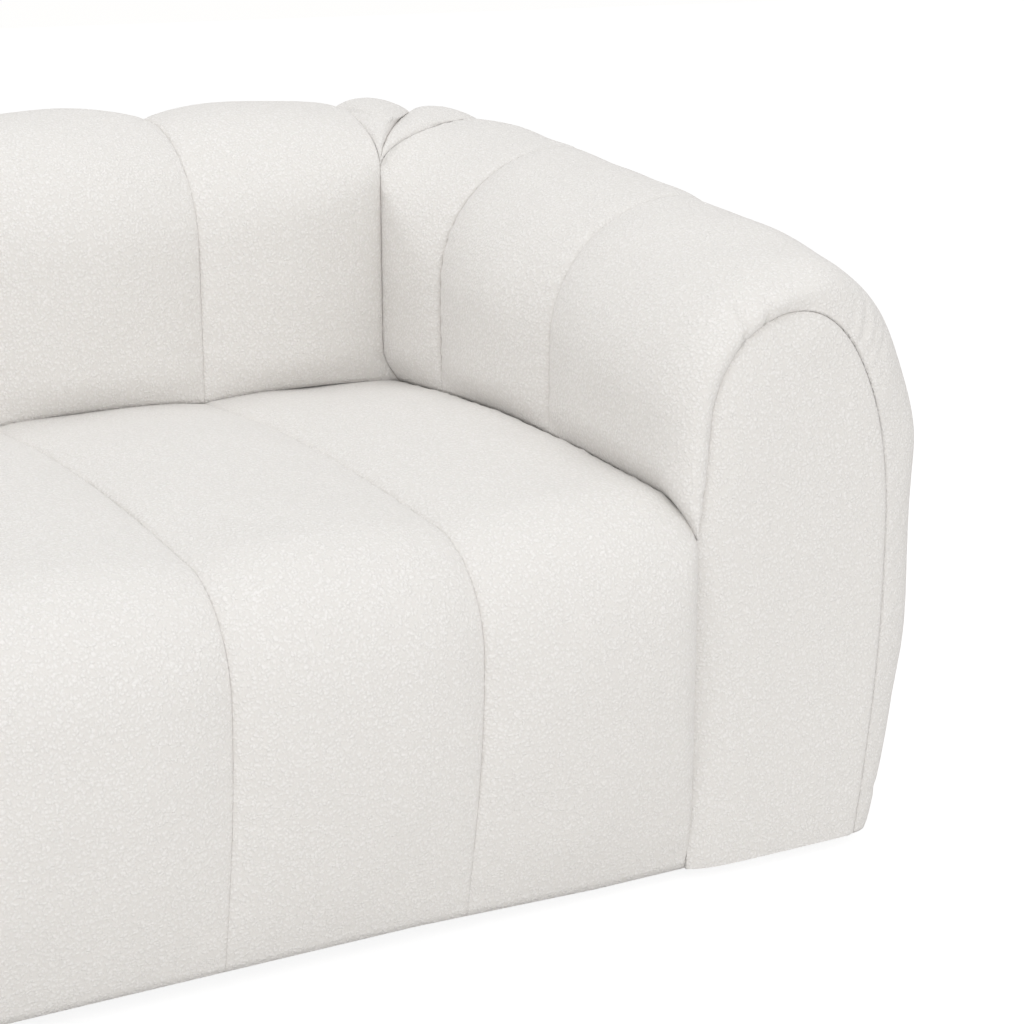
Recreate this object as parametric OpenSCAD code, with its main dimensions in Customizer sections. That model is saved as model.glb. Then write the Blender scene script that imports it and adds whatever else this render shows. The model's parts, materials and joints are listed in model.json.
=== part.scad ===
// Channelled tuxedo sofa with a tight seat, in millimetres.
// +X is to the right of someone who looks at the sofa from the front, +Y to the back, +Z up.
// The origin is on the floor, below the middle of the sofa.

/* [Channels] */
// Width of one padded channel of the seat and of the back
channel_w = 252; // [230:2:280]
// Height that a channel swells above its seams
crown = 20; // [10:1:24]
// Thickness of the padding at a seam
pad_t = 30; // [24:1:34]

/* [Seat] */
// Depth of the seat, from the bottom of its front seams to the inner face of the back
seat_depth = 641; // [600:1:700]
// Height of the seat's seams above the lower edge of the cover
seat_h = 378; // [360:1:400]
// Extra height of the seat's seams halfway along its depth
seat_dome = 15; // [5:1:20]
// How far the front leans out between its lower edge and its fullest height
front_bulge = 39; // [25:1:45]
// Height at which the front is fullest
bulge_h = 275; // [250:1:290]
// Depth of the rounding between the seat's front and its top
nose_depth = 100; // [85:1:115]
// Radius of the foam under that rounding
foam_nose_r = 60; // [40:1:75]

/* [Back and arms] */
// Thickness of the back and of the arms at their seams
wall_t = 265; // [245:1:285]
// Distance of the crest from the inner face
crest_d = 157; // [145:1:165]
// Height of the back's seams above the lower edge of the cover
back_h = 692; // [675:1:730]
// Height of the arm's seams at its front end
arm_front_h = 606; // [590:1:625]
// Height of the arm's seams where the arm meets the corner
arm_rear_h = 675; // [650:1:690]
// Height of the point from which the corner wedges fan out
fan_h = 640; // [625:1:645]
// Drop of the rounding on the inner side of the back
back_drop = 130; // [115:1:150]
// Drop of the rounding on the inner side of the arms
arm_drop = 145; // [125:1:155]
// Drop of the rounding on the outer side
outer_drop = 180; // [160:1:190]
// How far the outer side is drawn in at the lower edge
draw_in = 25; // [10:1:35]
// Height above which the outer side stands upright
upright_h = 270; // [220:1:300]
// Height in which a channel's side swells out above the seat
tuck_rise = 45; // [30:1:60]
// How far the upright seam of an inner corner stands inside the arm's inner face
corner_reach = 22; // [16:1:28]

/* [Arm channels] */
// Length of the arm's front channel, from the bottom of the seat's front seams
arm_front_l = 280; // [250:1:300]
// Length of the arm's middle channel
arm_mid_l = 250; // [230:1:270]
// How far the arm's crest dips at its front end
front_dip = 8; // [4:1:12]
// Extra drawing-in of the outer side at the arm's front end
front_draw = 10; // [4:1:16]
// Length over which the front end's dip and drawing-in fade out
front_fade_l = 200; // [160:5:240]
// Radius of the rolled border, measured along the arm
roll_r = 55; // [40:1:60]
// How far the rolled border stands forward of the seat's lower edge
roll_reach = 12; // [8:1:16]
// Inset of the arched front panel from the arm's inner face
panel_in = 18; // [10:1:24]
// Inset of the arched front panel from the arm's crest
panel_top = 44; // [36:1:52]
// Inset of the arched front panel from the arm's outer face
panel_out = 34; // [28:1:40]
// Distance of the panel's highest point from the arm's inner face
panel_crest_d = 120; // [110:1:140]
// Drop of the panel's arch on its inner side
panel_drop = 112; // [100:1:130]
// Drop of the panel's arch on its outer side
panel_outer_drop = 230; // [200:1:250]
// Swell of the front panel
panel_dome = 6; // [3:1:10]

/* [Timber frame] */
// Thickness of the rails
rail_t = 32; // [25:1:40]
// Height of the top of the seat rails above the lower edge of the cover
rail_top = 200; // [185:1:210]
// Height of the underside of the frame above the lower edge of the cover
frame_lift = 10; // [6:1:14]
// Height of the low rails and of the foot blocks
low_rail_h = 45; // [35:1:60]
// Thickness of the plywood ribs and formers
ply_t = 18; // [12:1:21]
// Thickness of the plywood decks
deck_t = 12; // [9:1:15]
// Thickness of the bent boards on the sides
board_t = 5; // [3:1:6]
// Distance of the back frame from the inner face of the back
back_set = 80; // [70:1:90]
// Side of a square corner post
post_w = 60; // [45:1:70]
// Leg of a triangular corner block
corner_leg = 70; // [50:1:90]

/* [Springs and webbing] */
// Thickness of the spring wire
wire_t = 4; // [3:0.5:5]
// Width of a zigzag spring
spring_w = 50; // [40:1:60]
// Number of zigzag springs
spring_count = 12; // [8:1:14]
// Number of cross bars in a spring
spring_bars = 17; // [13:2:21]
// Length of a spring clip
clip_l = 24; // [18:1:28]
// Width of a spring clip
clip_w = 16; // [12:1:22]
// Thickness of the clip's steel
clip_t = 1.5; // [1:0.5:2]
// Diameter of the tie wires
tie_d = 3; // [2:0.5:4]
// Thickness of the felt over the springs
felt_t = 4; // [3:1:6]
// Width of a webbing strap
web_w = 50; // [40:1:60]
// Thickness of a webbing strap
web_t = 2; // [1.5:0.5:3]
// Number of webbing straps
web_count = 12; // [8:1:16]

/* [Feet and bolts] */
// Height of the lower edge of the cover above the floor
foot_h = 20; // [15:1:40]
// Radius of a foot on the floor
foot_r = 28; // [20:1:32]
// Radius of a foot under the frame
foot_top_r = 34; // [28:1:38]
// Radius of the bolts
bolt_r = 4; // [3:0.5:5]
// Length of the bolt above the frame's underside
bolt_grip = 30; // [20:1:34]
// Radius of a bolt head
head_r = 8; // [6:0.5:10]
// Height of a bolt head
head_h = 5; // [3:0.5:6]
// Thickness of the dust cover
dust_t = 1.5; // [1:0.5:2]

/* [Hidden] */
// Gap between neighbouring pieces
clear = 0.3;
channels = 6;
// Spans across a channel: its crown is half an ellipse, so the seams are sharp and deep
spans = 6;
// Angle between the points of a rounding
arc_step = 22.5;
// Angle between the points of the seat's nose
nose_step = 30;
// Number of spans up the seat's front, along its top and down the outer side
front_points = 3;
top_points = 4;
foot_points = 2;
// How far a cutting body stands out of the piece that it cuts
overrun = 2;

// Half the width between the arms
half_w = channels * channel_w / 2;
full_depth = front_bulge + seat_depth + wall_t + 2 * crown;
// Place of the lower ends of the seat's front seams
front_y = front_bulge + crown - full_depth / 2;
nose_end = nose_depth - front_bulge;
// The seat runs back below the padding of the back
seat_end = seat_depth + pad_t - clear;
arm_seam_1 = arm_front_l;
arm_seam_2 = arm_front_l + arm_mid_l;
// Stations of the rolled border, as angles round it from its seam with the front panel
roll_angles = [120, 90, 60, 30, 0];
// Depth of that seam behind the border's front
panel_sink = roll_r * (1 - sin(roll_angles[0]));

arm_deck = arm_front_h - outer_drop;
back_deck = back_h - outer_drop;
// Reach of the boards and of the frame behind the outer padding
board_in = pad_t + clear;
frame_in = board_in + board_t + clear;
// Front face of the arm's frame, behind the front panel
core_y = pad_t - panel_sink;
former_y = core_y + clear;
boards_y = former_y + ply_t + clear;
rear_former_y = seat_depth - ply_t - clear;

spring_z = rail_top + clip_t + clear;
felt_z = spring_z + wire_t + clip_t + 2 * clear;
foam_z = felt_z + felt_t + clear;
spring_pitch = (2 * half_w - 2 * rail_t) / spring_count;
web_pitch = (2 * half_w - 2 * rail_t) / web_count;
rear_rail_y = seat_depth;
front_rail_y = pad_t + clear;
spring_y = front_rail_y + rail_t / 2;
spring_l = rear_rail_y + rail_t / 2 - spring_y;
// The cross rails stand between the front and the rear rail, clear of the tie wires
cross_y = front_rail_y + rail_t + clear;
cross_l = rear_rail_y - clear - cross_y;
cross_top = rail_top - tie_d - clear;
bolt_z = frame_lift + low_rail_h / 2;
boards_l = rear_former_y - clear - boards_y;
// Top of the arm's foot, which stands out to the seat below the padding
arm_step = seat_seam(-roll_reach);
arm_top = arm_deck - deck_t - 2 * clear;
back_top = back_deck - deck_t - 2 * clear;
foot_l = foot_h + frame_lift - dust_t - 2 * clear;
// Room between a round corner and the straight spans of its padding
corner_ease = 2;
corner_in = board_in + corner_ease;
// Length of the blocks that hold the feet
block_l = 90;
// Depth of the bolt heads in the feet
head_sink = 3;
// Angles of the corner's seams from the back round to the arm, the gap at a seam and the radius
// at which the wedges meet
fan_angles = [0, 32, 60];
gap_angle = 0.1;
hub = 4;
// Angle between the points of the corner's foam
fan_step = 15;

// Share of the drawing-in, and of the crown that is left, from the upright side down to the edge
draw_shares = [0, 0.3, 1];
fade_shares = [1, 0.85, 0.2];
// Least slope against the corner, so that the two last channels meet in a mitre
mitre_share = 0.75;
// Place of the tie wires along the springs
tie_shares = [0.35, 0.65];
// Places of the two bolts along an arm
bolt_shares = [0.25, 0.75];
// Size of the front panel's raised middle
panel_middle_share = 0.55;
panel_fill_share = 0.8;
// Share of the crown that is left on the crest of the back and of the arms
back_crest_share = 0.85;
arm_crest_share = 0.25;
// How much the power of the outer shoulder's arc grows at the arm's front end, which draws it in
shoulder_share = 0.17;
// Place of the panel's inner edge just above the seat
panel_low_share = 0.65;

function lerp(a, b, s) = a + (b - a) * s;
function reversed(list) = [for (i = [len(list) - 1 : -1 : 0]) list[i]];
// Stations across a channel lie close together near the seams
function across(i) = (1 - cos(180 * i / spans)) / 2;
function swell(i) = sin(180 * i / spans);

// Height of the seat's seams over the depth y
function seat_seam(y) = y >= nose_end
    ? seat_h + seat_dome * sin(180 * (y - nose_end) / (seat_end - nose_end))
    : bulge_h + (seat_h - bulge_h) * sqrt(max(0, 1 - pow((nose_end - y) / nose_depth, 2)));
function arm_h(y) = lerp(arm_front_h, arm_rear_h, y / seat_depth);
// Share of the front end's dip, drawing-in and shoulder that is left at the depth y
function front_share(y) = pow(max(0, 1 - max(0, y) / front_fade_l), 2);

// Outline of the seat from its lower front edge over the nose to the back, swollen by c,
// which reaches no further forward than the limit given
function seat_line(c, limit) = concat(
    [for (i = [0 : front_points]) let (s = sin(90 * i / front_points))
        [max(-limit, -(front_bulge + c) * s), bulge_h * i / front_points]],
    [for (a = [nose_step : nose_step : 90])
        [max(-limit, nose_end - (nose_depth + c) * cos(a)), bulge_h + (seat_h - bulge_h + c) * sin(a)]],
    [for (i = [1 : top_points]) let (y = lerp(nose_end, seat_end, i / top_points))
        [y, seat_seam(y) + c]]
);
// Underside of the same padding: a flat front, a round nose and a flat top
function seat_under() = let (top = seat_h - pad_t, low = top - foam_nose_r) concat(
    [for (i = [0 : front_points]) [pad_t, low * i / front_points]],
    [for (a = [nose_step : nose_step : 90])
        [pad_t + foam_nose_r * (1 - cos(a)), low + foam_nose_r * sin(a)]],
    [for (i = [1 : top_points]) [lerp(pad_t + foam_nose_r, seat_end, i / top_points), top]]
);

// Rounding over a crest, as [distance, height], from a side at in_d to a side at out_d
function rounding(in_d, crest, out_d, h, in_drop, out_drop, power) = concat(
    [for (a = [0 : arc_step : 90]) [crest - (crest - in_d) * cos(a), h - in_drop + in_drop * sin(a)]],
    [for (a = [arc_step : arc_step : 90])
        [crest + (out_d - crest) * pow(sin(a), power), h - out_drop + out_drop * pow(max(0, cos(a)), power)]]
);
// The wall's rounding from its inner to its outer face. swells holds how far it lies outside
// the seams on the inner side, the top and the outer side, and front is the share of the front end.
function arch(swells, h, drop, front = 0) = rounding(
    -swells[0], crest_d, wall_t + swells[2], h + swells[1] - front_dip * front,
    drop + swells[1], outer_drop + swells[1], 1 + shoulder_share * front);
// Outer side from its upright stretch down to the lower edge, where a swell fades out
function outer_side(c, front = 0) = [for (i = [0 : foot_points])
    [wall_t - (draw_in + front_draw * front) * draw_shares[i] + c * (c > 0 ? fade_shares[i] : 1),
        upright_h * (1 - i / foot_points)]];
function insets(c) = [-c, -c, -c];
function cover_line(swells, h, drop, seat_z, front = 0) = concat(
    [[0, seat_z], [-swells[0], seat_z + tuck_rise]],
    arch(swells, h, drop, front),
    outer_side(swells[2], front)
);
// Share of an inward shift that each point of that outline takes: none at the seat and from the
// crest on, and all of it up to the rounding
inward_shares = concat([0, 1], [for (a = [0 : arc_step : 90]) cos(a)],
    [for (a = [arc_step : arc_step : 90]) 0], [for (i = [0 : foot_points]) 0]);

function lining_line(gap, h, drop, seat_z) = cover_side(pad_t + gap, seat_z, concat(
    arch(insets(pad_t + gap), h, drop),
    outer_side(-pad_t - gap)
));
function cover_side(d, seat_z, rest) = concat([[d, seat_z], [d, seat_z + tuck_rise]], rest);
// Distance of the outer side, at the height z and inset by c
function side_d(z, c) = wall_t - c - lookup(z, [for (i = [foot_points : -1 : 0])
    [upright_h * (1 - i / foot_points), draw_in * draw_shares[i]]]);

// Closed skin between an outer and an inner grid of points, both as rows of as many points
module padded_skin(outer, inner) {
    rows = len(outer);
    cols = len(outer[0]);
    function at(side, i, j) = side * rows * cols + i * cols + j;
    function quad(a, b, c, d) = [[a, b, c], [a, c, d]];
    polyhedron(
        points = concat([for (row = outer) each row], [for (row = inner) each row]),
        faces = concat(
            [for (i = [0 : rows - 2]) for (j = [0 : cols - 2])
                each quad(at(0, i, j), at(0, i + 1, j), at(0, i + 1, j + 1), at(0, i, j + 1))],
            [for (i = [0 : rows - 2]) for (j = [0 : cols - 2])
                each quad(at(1, i, j), at(1, i, j + 1), at(1, i + 1, j + 1), at(1, i + 1, j))],
            [for (i = [0 : rows - 2])
                each quad(at(0, i, 0), at(1, i, 0), at(1, i + 1, 0), at(0, i + 1, 0))],
            [for (i = [0 : rows - 2]) let (j = cols - 1)
                each quad(at(0, i, j), at(0, i + 1, j), at(1, i + 1, j), at(1, i, j))],
            [for (j = [0 : cols - 2]) each quad(at(0, 0, j), at(0, 0, j + 1), at(1, 0, j + 1), at(1, 0, j))],
            [for (j = [0 : cols - 2]) let (i = rows - 1)
                each quad(at(0, i, j), at(1, i, j), at(1, i, j + 1), at(0, i, j + 1))]
        )
    );
}

// Solid through closed rings of as many points, each ring closed by a fan from its first point
module ring_solid(rings) {
    rows = len(rings);
    cols = len(rings[0]);
    function at(i, j) = i * cols + j % cols;
    polyhedron(
        points = [for (ring = rings) each ring],
        faces = concat(
            [for (i = [0 : rows - 2]) for (j = [0 : cols - 1])
                each [
                    [at(i, j), at(i + 1, j), at(i + 1, j + 1)],
                    [at(i, j), at(i + 1, j + 1), at(i, j + 1)]
                ]],
            [for (j = [1 : cols - 2]) [at(0, 0), at(0, j), at(0, j + 1)]],
            [for (j = [1 : cols - 2]) [at(rows - 1, 0), at(rows - 1, j + 1), at(rows - 1, j)]]
        )
    );
}

module placed() {
    translate([0, front_y, foot_h]) children();
}
module on_side(side) {
    if (side == "left") mirror([1, 0, 0]) children();
    else children();
}
// The channels of the left half mirror those of the right half
module on_half(i) {
    on_side(i <= channels / 2 ? "left" : "right") children();
}
function right_of(i) = max(i, channels + 1 - i);
// Turns an outline of [distance, height] into a wall that runs along the back
module along_back(length) {
    rotate([90, 0, 90]) translate([0, 0, -length / 2]) linear_extrude(length) children();
}
// Turns the same outline into a wall that runs along the right arm from y to y + length
module along_arm(y, length) {
    translate([half_w, y + length, 0]) rotate([90, 0, 0]) linear_extrude(length) children();
}

function channel_x(i, s) = -half_w + channel_w * i - clear / 2 - (channel_w - clear) * s;

module seat_channel(i) {
    n = right_of(i);
    // Beside the arm's front panel the bulge ends level with the panel
    function limit(k) = n == channels && k == 0 ? roll_reach : full_depth;
    color("whitesmoke") placed() on_half(i) padded_skin(
        [for (k = [0 : spans])
            [for (p = seat_line(crown * swell(k), limit(k))) [channel_x(n, across(k)), p[0], p[1]]]],
        [for (k = [0 : spans]) [for (p = seat_under()) [channel_x(n, across(k)), p[0], p[1]]]]
    );
}

// Swell of an inner face, limited near a corner at the distance given
function mitred(c, distance) = min(c, mitre_share * distance);
// The rounding tightens towards the corner, where the inner faces meet in one upright seam
function corner_drop(h, drop, distance, length) =
    lerp(h - fan_h, drop, min(1, pow(max(0, distance) / length, 0.5)));

module back_channel(i) {
    n = right_of(i);
    edge = n == channels;
    function station(k) = let (
        x = channel_x(n, across(k)),
        c = crown * swell(k),
        off = half_w - abs(x),
        drop = edge ? corner_drop(back_h, back_drop, off - clear, channel_w - 2 * clear) : back_drop,
        shift = edge ? corner_reach * pow(1 - off / channel_w, 2) : 0,
        line = cover_line([mitred(c, off), c * back_crest_share, c], back_h, drop,
            seat_seam(seat_depth) + c + clear)
    ) [for (j = [0 : len(line) - 1]) [x - shift * inward_shares[j], seat_depth + line[j][0], line[j][1]]];
    function lining(k) = let (seat_z = seat_seam(seat_depth) + crown * swell(k) + clear)
        [for (p = lining_line(0, back_h, back_drop, seat_z))
            [channel_x(n, across(k)), seat_depth + p[0], p[1]]];
    color("whitesmoke") placed() on_half(i)
        padded_skin([for (k = [0 : spans]) station(k)], [for (k = [0 : spans]) lining(k)]);
}

// A point of an outline that stands at the angle a round the corner's upright axis, seen from above
function spun(p, a, axis_y) = [half_w + clear / 2 + p[0] * sin(a), axis_y + p[0] * cos(a), p[1]];
function arm_swells(c) = [c, c * arm_crest_share, c];

// The middle arm channel lies between two seams
module arm_channel_middle() {
    function y_at(k) = lerp(arm_seam_1 + clear / 2, arm_seam_2 - clear / 2, across(k));
    padded_skin(
        [for (k = [0 : spans]) let (y = y_at(k), swells = arm_swells(crown * swell(k)))
            [for (p = cover_line(swells, arm_h(y), arm_drop, seat_seam(y) + clear, front_share(y)))
                spun(p, 90, y)]],
        [for (k = [0 : spans]) let (y = y_at(k))
            [for (p = lining_line(0, arm_h(y), arm_drop, seat_seam(y) + clear)) spun(p, 90, y)]]
    );
}

// The rear arm channel turns into the corner. A point at the distance d lies at the share s of
// a path that runs straight to the corner's axis and then round it by the angle given.
function turned(p, s, angle) = let (
    run = seat_depth - arm_seam_2 - clear - clear / 2,
    past = s * (run + p[0] * angle * PI / 180) - run
) p[0] > 0 && past > 0
    ? spun(p, 90 - past / p[0] * 180 / PI, seat_depth - clear)
    : spun(p, 90, seat_depth - clear + min(0, s * run - run + s * max(0, p[0]) * angle * PI / 180));

// Its stations, which the foam below it shares
rear_turn = 90 - fan_angles[2] - gap_angle;
function rear_y(k) = lerp(arm_seam_2 + clear / 2, seat_depth - clear, across(k));
function rear_top(k) = arm_h(rear_y(k)) + (back_h - arm_rear_h) * rear_turn / 90 * pow(across(k), 2);
function rear_drop(k) = corner_drop(rear_top(k), arm_drop, seat_depth - clear - rear_y(k),
    seat_depth - arm_seam_2);

module arm_channel_rear() {
    // On its inner face it swells up to the upright seam of the corner
    function station(k) = let (
        c = crown * swell(k),
        shift = corner_reach * sqrt(1 - pow(1 - across(k), 2)),
        swells = [0, c * arm_crest_share, c],
        line = cover_line(swells, rear_top(k), rear_drop(k), seat_seam(rear_y(k)) + clear)
    ) [for (j = [0 : len(line) - 1])
        turned(line[j], across(k), rear_turn) - [shift * inward_shares[j], 0, 0]];
    // The two lowest points of its lining keep to the straight
    function lining(k) = let (
        line = lining_line(0, rear_top(k), rear_drop(k), seat_seam(rear_y(k)) + clear)
    ) [for (j = [0 : len(line) - 1]) turned(line[j], across(k), j < 2 ? 0 : rear_turn)];
    padded_skin([for (k = [0 : spans]) station(k)], [for (k = [0 : spans]) lining(k)]);
}

// Front arm channel, from its seam with the front panel round the rolled border to its rear seam
function roll_y(a) = roll_r - roll_reach - roll_r * sin(a);
function pocket_line(gap) = let (
    seat_z = seat_seam(-roll_reach) + 2 * clear,
    top = arm_front_h - panel_top - gap
) concat(
    [[0, seat_z], [panel_in * panel_low_share + gap, seat_z + tuck_rise]],
    rounding(panel_in + gap, panel_crest_d, wall_t - panel_out - gap, top,
        panel_drop - gap, panel_outer_drop - gap, 1),
    outer_side(-panel_out - gap)
);
function arm_line(c, y) =
    cover_line(arm_swells(c), arm_h(max(0, y)), arm_drop, seat_seam(y) + 2 * clear, front_share(y));

module arm_channel_front() {
    tail = spans / 2;
    flat_end = roll_y(0) + roll_r;
    function rolled(a) = let (
        share = (1 - cos(a)) / (1 - cos(roll_angles[0])),
        side = arm_line(crown, roll_y(a)),
        rim = pocket_line(0)
    ) [for (j = [0 : len(rim) - 1]) spun(lerp(side[j], rim[j], share), 90, roll_y(a))];
    stations = concat(
        [for (a = roll_angles) rolled(a)],
        [for (k = [tail : spans]) let (y = lerp(flat_end, arm_seam_1 - clear / 2, across(k) * 2 - 1))
            [for (p = arm_line(crown * swell(k), y)) spun(p, 90, y)]]
    );
    last = len(stations) - 1;
    padded_skin(stations, [for (i = [0 : last]) let (y = lerp(core_y, arm_seam_1 - clear / 2, i / last))
        [for (p = lining_line(0, arm_h(y), arm_drop, seat_seam(y) + clear)) spun(p, 90, y)]]);
}

module arm_channel(side, i) {
    color("whitesmoke") placed() on_side(side) {
        if (i == 1) arm_channel_front();
        if (i == 2) arm_channel_middle();
        if (i == 3) arm_channel_rear();
    }
}

// One of the two wedges that turn the channels round the corner
function wedge_reach(a) = corner_reach - 4 * clear * (1 - a / fan_angles[2]);
function corner_h(a) = lerp(back_h, arm_rear_h, a / 90);
module corner_channel(side, i) {
    from = fan_angles[3 - i] - gap_angle;
    to = fan_angles[2 - i] + gap_angle;
    function angle(k) = lerp(from, to, across(k));
    function cover(a, c) = let (
        h = corner_h(a),
        top_c = c * lerp(back_crest_share, arm_crest_share, a / 90),
        line = concat(arch([0, top_c, c], h, h - fan_h), outer_side(c))
    ) [for (j = [0 : len(line) - 1]) let (p = j == 0 ? [hub, fan_h] : line[j])
        spun(p, a, seat_depth) - [wedge_reach(a) * inward_shares[j + 2], 0, 0]];
    function lining(a) = let (h = corner_h(a))
        [for (p = concat(arch(insets(pad_t), h, h - fan_h), outer_side(-pad_t))) spun(p, a, seat_depth)];
    color("whitesmoke") placed() on_side(side) padded_skin(
        [for (k = [0 : spans]) cover(angle(k), crown * swell(k))],
        [for (k = [0 : spans]) lining(angle(k))]
    );
}

module arm_front_panel(side) {
    rim = pocket_line(2 * clear);
    seam = lining_line(2 * clear, arm_h(core_y), arm_drop, seat_seam(core_y) + clear);
    // Beside the seat the panel runs down to the lower edge of the cover
    step_z = rim[0][1] - 2 * clear;
    function with_foot(line, step_d) = concat(
        [[clear, 0], [clear, step_z], [step_d, step_z]],
        [for (j = [1 : len(line) - 1]) line[j]]
    );
    front_line = with_foot(rim, 3 * clear);
    rear_line = with_foot(seam, pad_t + clear);
    middle = [wall_t / 2, arm_front_h / 2];
    raised = [for (p = front_line) lerp(middle, p, panel_middle_share)];
    function at_front(line, fill) = [for (p = line)
        [half_w + clear / 2 + p[0], panel_sink - roll_reach - panel_dome * fill, p[1]]];
    function at_rear(line) = [for (p = line) [half_w + clear / 2 + p[0], core_y - clear, p[1]]];
    cols = len(front_line);
    function at(i, j) = i * cols + j % cols;
    color("whitesmoke") placed() on_side(side) polyhedron(
        points = concat(at_rear(rear_line), at_front(front_line, 0), at_front(raised, panel_fill_share),
            at_front([middle], 1), at_rear([middle])),
        faces = concat(
            [for (i = [0 : 1]) for (j = [0 : cols - 1]) each [
                [at(i, j), at(i, j + 1), at(i + 1, j)],
                [at(i, j + 1), at(i + 1, j + 1), at(i + 1, j)]
            ]],
            [for (j = [0 : cols - 1]) [at(2, j), at(2, j + 1), 3 * cols]],
            [for (j = [0 : cols - 1]) [at(0, j + 1), at(0, j), 3 * cols + 1]]
        )
    );
}

// Foam and felt of the seat
module seat_foam() {
    front = pad_t + clear;
    top = seat_h - pad_t - clear;
    color("khaki") placed() along_back(2 * half_w - clear) polygon(concat(
        [[front, foam_z]],
        [for (a = [0 : nose_step : 90])
            [front + foam_nose_r * (1 - cos(a)), top - foam_nose_r * (1 - sin(a))]],
        [[seat_end, top], [seat_end, foam_z]]
    ));
}

module spring_felt() {
    color("dimgray") placed() translate([-half_w + clear, front_rail_y, felt_z])
        cube([2 * (half_w - clear), seat_end - front_rail_y, felt_t]);
}

// Zigzag wire springs, which lie on the front and the rear rail
function spring_x(i) = -half_w + rail_t + spring_pitch * (i + 1 / 2);
function turn_side(i) = i % 2 == 0 ? -1 : 1;

module zigzag(width, length, bars, t) {
    step = length / bars;
    reach = (width - t) / 2;
    slope = step / (2 * reach);
    half = t / 2 * sqrt(1 + slope * slope);
    function outer_turn(i) = let (x = turn_side(i) * (reach + t / 2), rise = half - slope * t / 2)
        [[x, step * i - rise], [x, step * i + rise]];
    function inner_turn(i) = [[turn_side(i) * (reach - half / slope), step * i]];
    left = [for (i = [1 : bars - 1]) each (turn_side(i) > 0 ? inner_turn(i) : outer_turn(i))];
    right = [for (i = [1 : bars - 1]) each (turn_side(i) > 0 ? outer_turn(i) : inner_turn(i))];
    polygon(concat(
        [[turn_side(0) * reach, half]], left, [[turn_side(bars) * reach, length + half]],
        [[turn_side(bars) * reach, length - half]], reversed(right), [[turn_side(0) * reach, -half]]
    ));
}

module seat_springs() {
    color("slategray") placed() for (i = [0 : spring_count - 1])
        translate([spring_x(i), spring_y, spring_z])
            linear_extrude(wire_t) zigzag(spring_w, spring_l, spring_bars, wire_t);
}

// A clip is a strip bent round the end of a spring
module spring_clip() {
    mouth = wire_t + 2 * clear;
    rotate([90, 0, 90]) translate([0, 0, -clip_w / 2]) linear_extrude(clip_w) difference() {
        square([clip_l, mouth + 2 * clip_t]);
        translate([clip_t, clip_t]) square([clip_l, mouth]);
    }
}

module spring_clips() {
    side = (spring_w - wire_t) / 2;
    color("silver") placed() for (i = [0 : spring_count - 1]) {
        translate([spring_x(i) - side, spring_y - clip_l / 2, rail_top]) spring_clip();
        translate([spring_x(i) + side, spring_y + spring_l + clip_l / 2, rail_top])
            rotate([0, 0, 180]) spring_clip();
    }
}

module spring_tie_wires() {
    length = 2 * (half_w - rail_t - clear);
    color("slategray") placed() for (s = tie_shares)
        translate([-length / 2, spring_y + spring_l * s, spring_z - clear - tie_d / 2])
            rotate([0, 90, 0]) cylinder(d = tie_d, h = length);
}

// Hardwood frame of the seat
module seat_front_rail() {
    color("burlywood") placed() translate([-half_w + clear, front_rail_y, frame_lift])
        cube([2 * (half_w - clear), rail_t, rail_top - frame_lift]);
}

module seat_rear_rail() {
    color("burlywood") placed() translate([-half_w + clear, rear_rail_y, frame_lift])
        cube([2 * (half_w - clear), rail_t, rail_top - frame_lift]);
}

module bolt_bore(length) {
    for (s = bolt_shares)
        translate([0, lerp(boards_y, rear_former_y, s), bolt_z])
            rotate([0, 90, 0]) cylinder(r = bolt_r + clear, h = length);
}

module seat_cross_rails() {
    inner_x = half_w - clear - rail_t;
    low = frame_lift + low_rail_h + clear;
    color("burlywood") placed() {
        for (side = ["left", "right"]) on_side(side) difference() {
            translate([inner_x, cross_y, frame_lift]) cube([rail_t, cross_l, cross_top - frame_lift]);
            translate([inner_x - overrun, 0, 0]) bolt_bore(rail_t + 2 * overrun);
        }
        translate([-rail_t / 2, cross_y, low]) cube([rail_t, cross_l, cross_top - low]);
    }
}

module seat_corner_blocks() {
    corner_x = half_w - 2 * clear - rail_t;
    color("burlywood") placed() translate([0, 0, frame_lift]) linear_extrude(cross_top - frame_lift)
        for (s = [-1, 1]) {
            polygon([[s * corner_x, cross_y], [s * (corner_x - corner_leg), cross_y],
                [s * corner_x, cross_y + corner_leg]]);
            polygon([[s * corner_x, cross_y + cross_l], [s * (corner_x - corner_leg), cross_y + cross_l],
                [s * corner_x, cross_y + cross_l - corner_leg]]);
        }
}

// Long rails of the back as [distance from the inner face, height]
back_rail_places = [
    [back_set, frame_lift],
    [back_set, rail_top + clear],
    [back_set, back_top - low_rail_h],
    [side_d(frame_lift, frame_in) - rail_t, frame_lift]
];

module back_ribs() {
    heights = [back_top, upright_h, upright_h / foot_points, frame_lift];
    end_x = half_w - clear - ply_t / 2;
    color("tan") placed() for (x = [-end_x, -channel_w, channel_w, end_x])
        translate([x, seat_depth, 0]) along_back(ply_t) difference() {
            polygon(concat(
                [[rail_t + clear, frame_lift], [rail_t + clear, rail_top], [back_set, rail_top],
                    [back_set, back_top]],
                [for (z = heights) [side_d(z, frame_in), z]]
            ));
            for (p = back_rail_places)
                translate([p[0] - clear, p[1] - clear]) square([rail_t + 2 * clear, low_rail_h + 2 * clear]);
        }
}

module back_rails() {
    color("burlywood") placed() for (p = back_rail_places)
        translate([0, seat_depth, 0]) along_back(2 * (half_w - clear))
            translate(p) square([rail_t, low_rail_h]);
}

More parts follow.
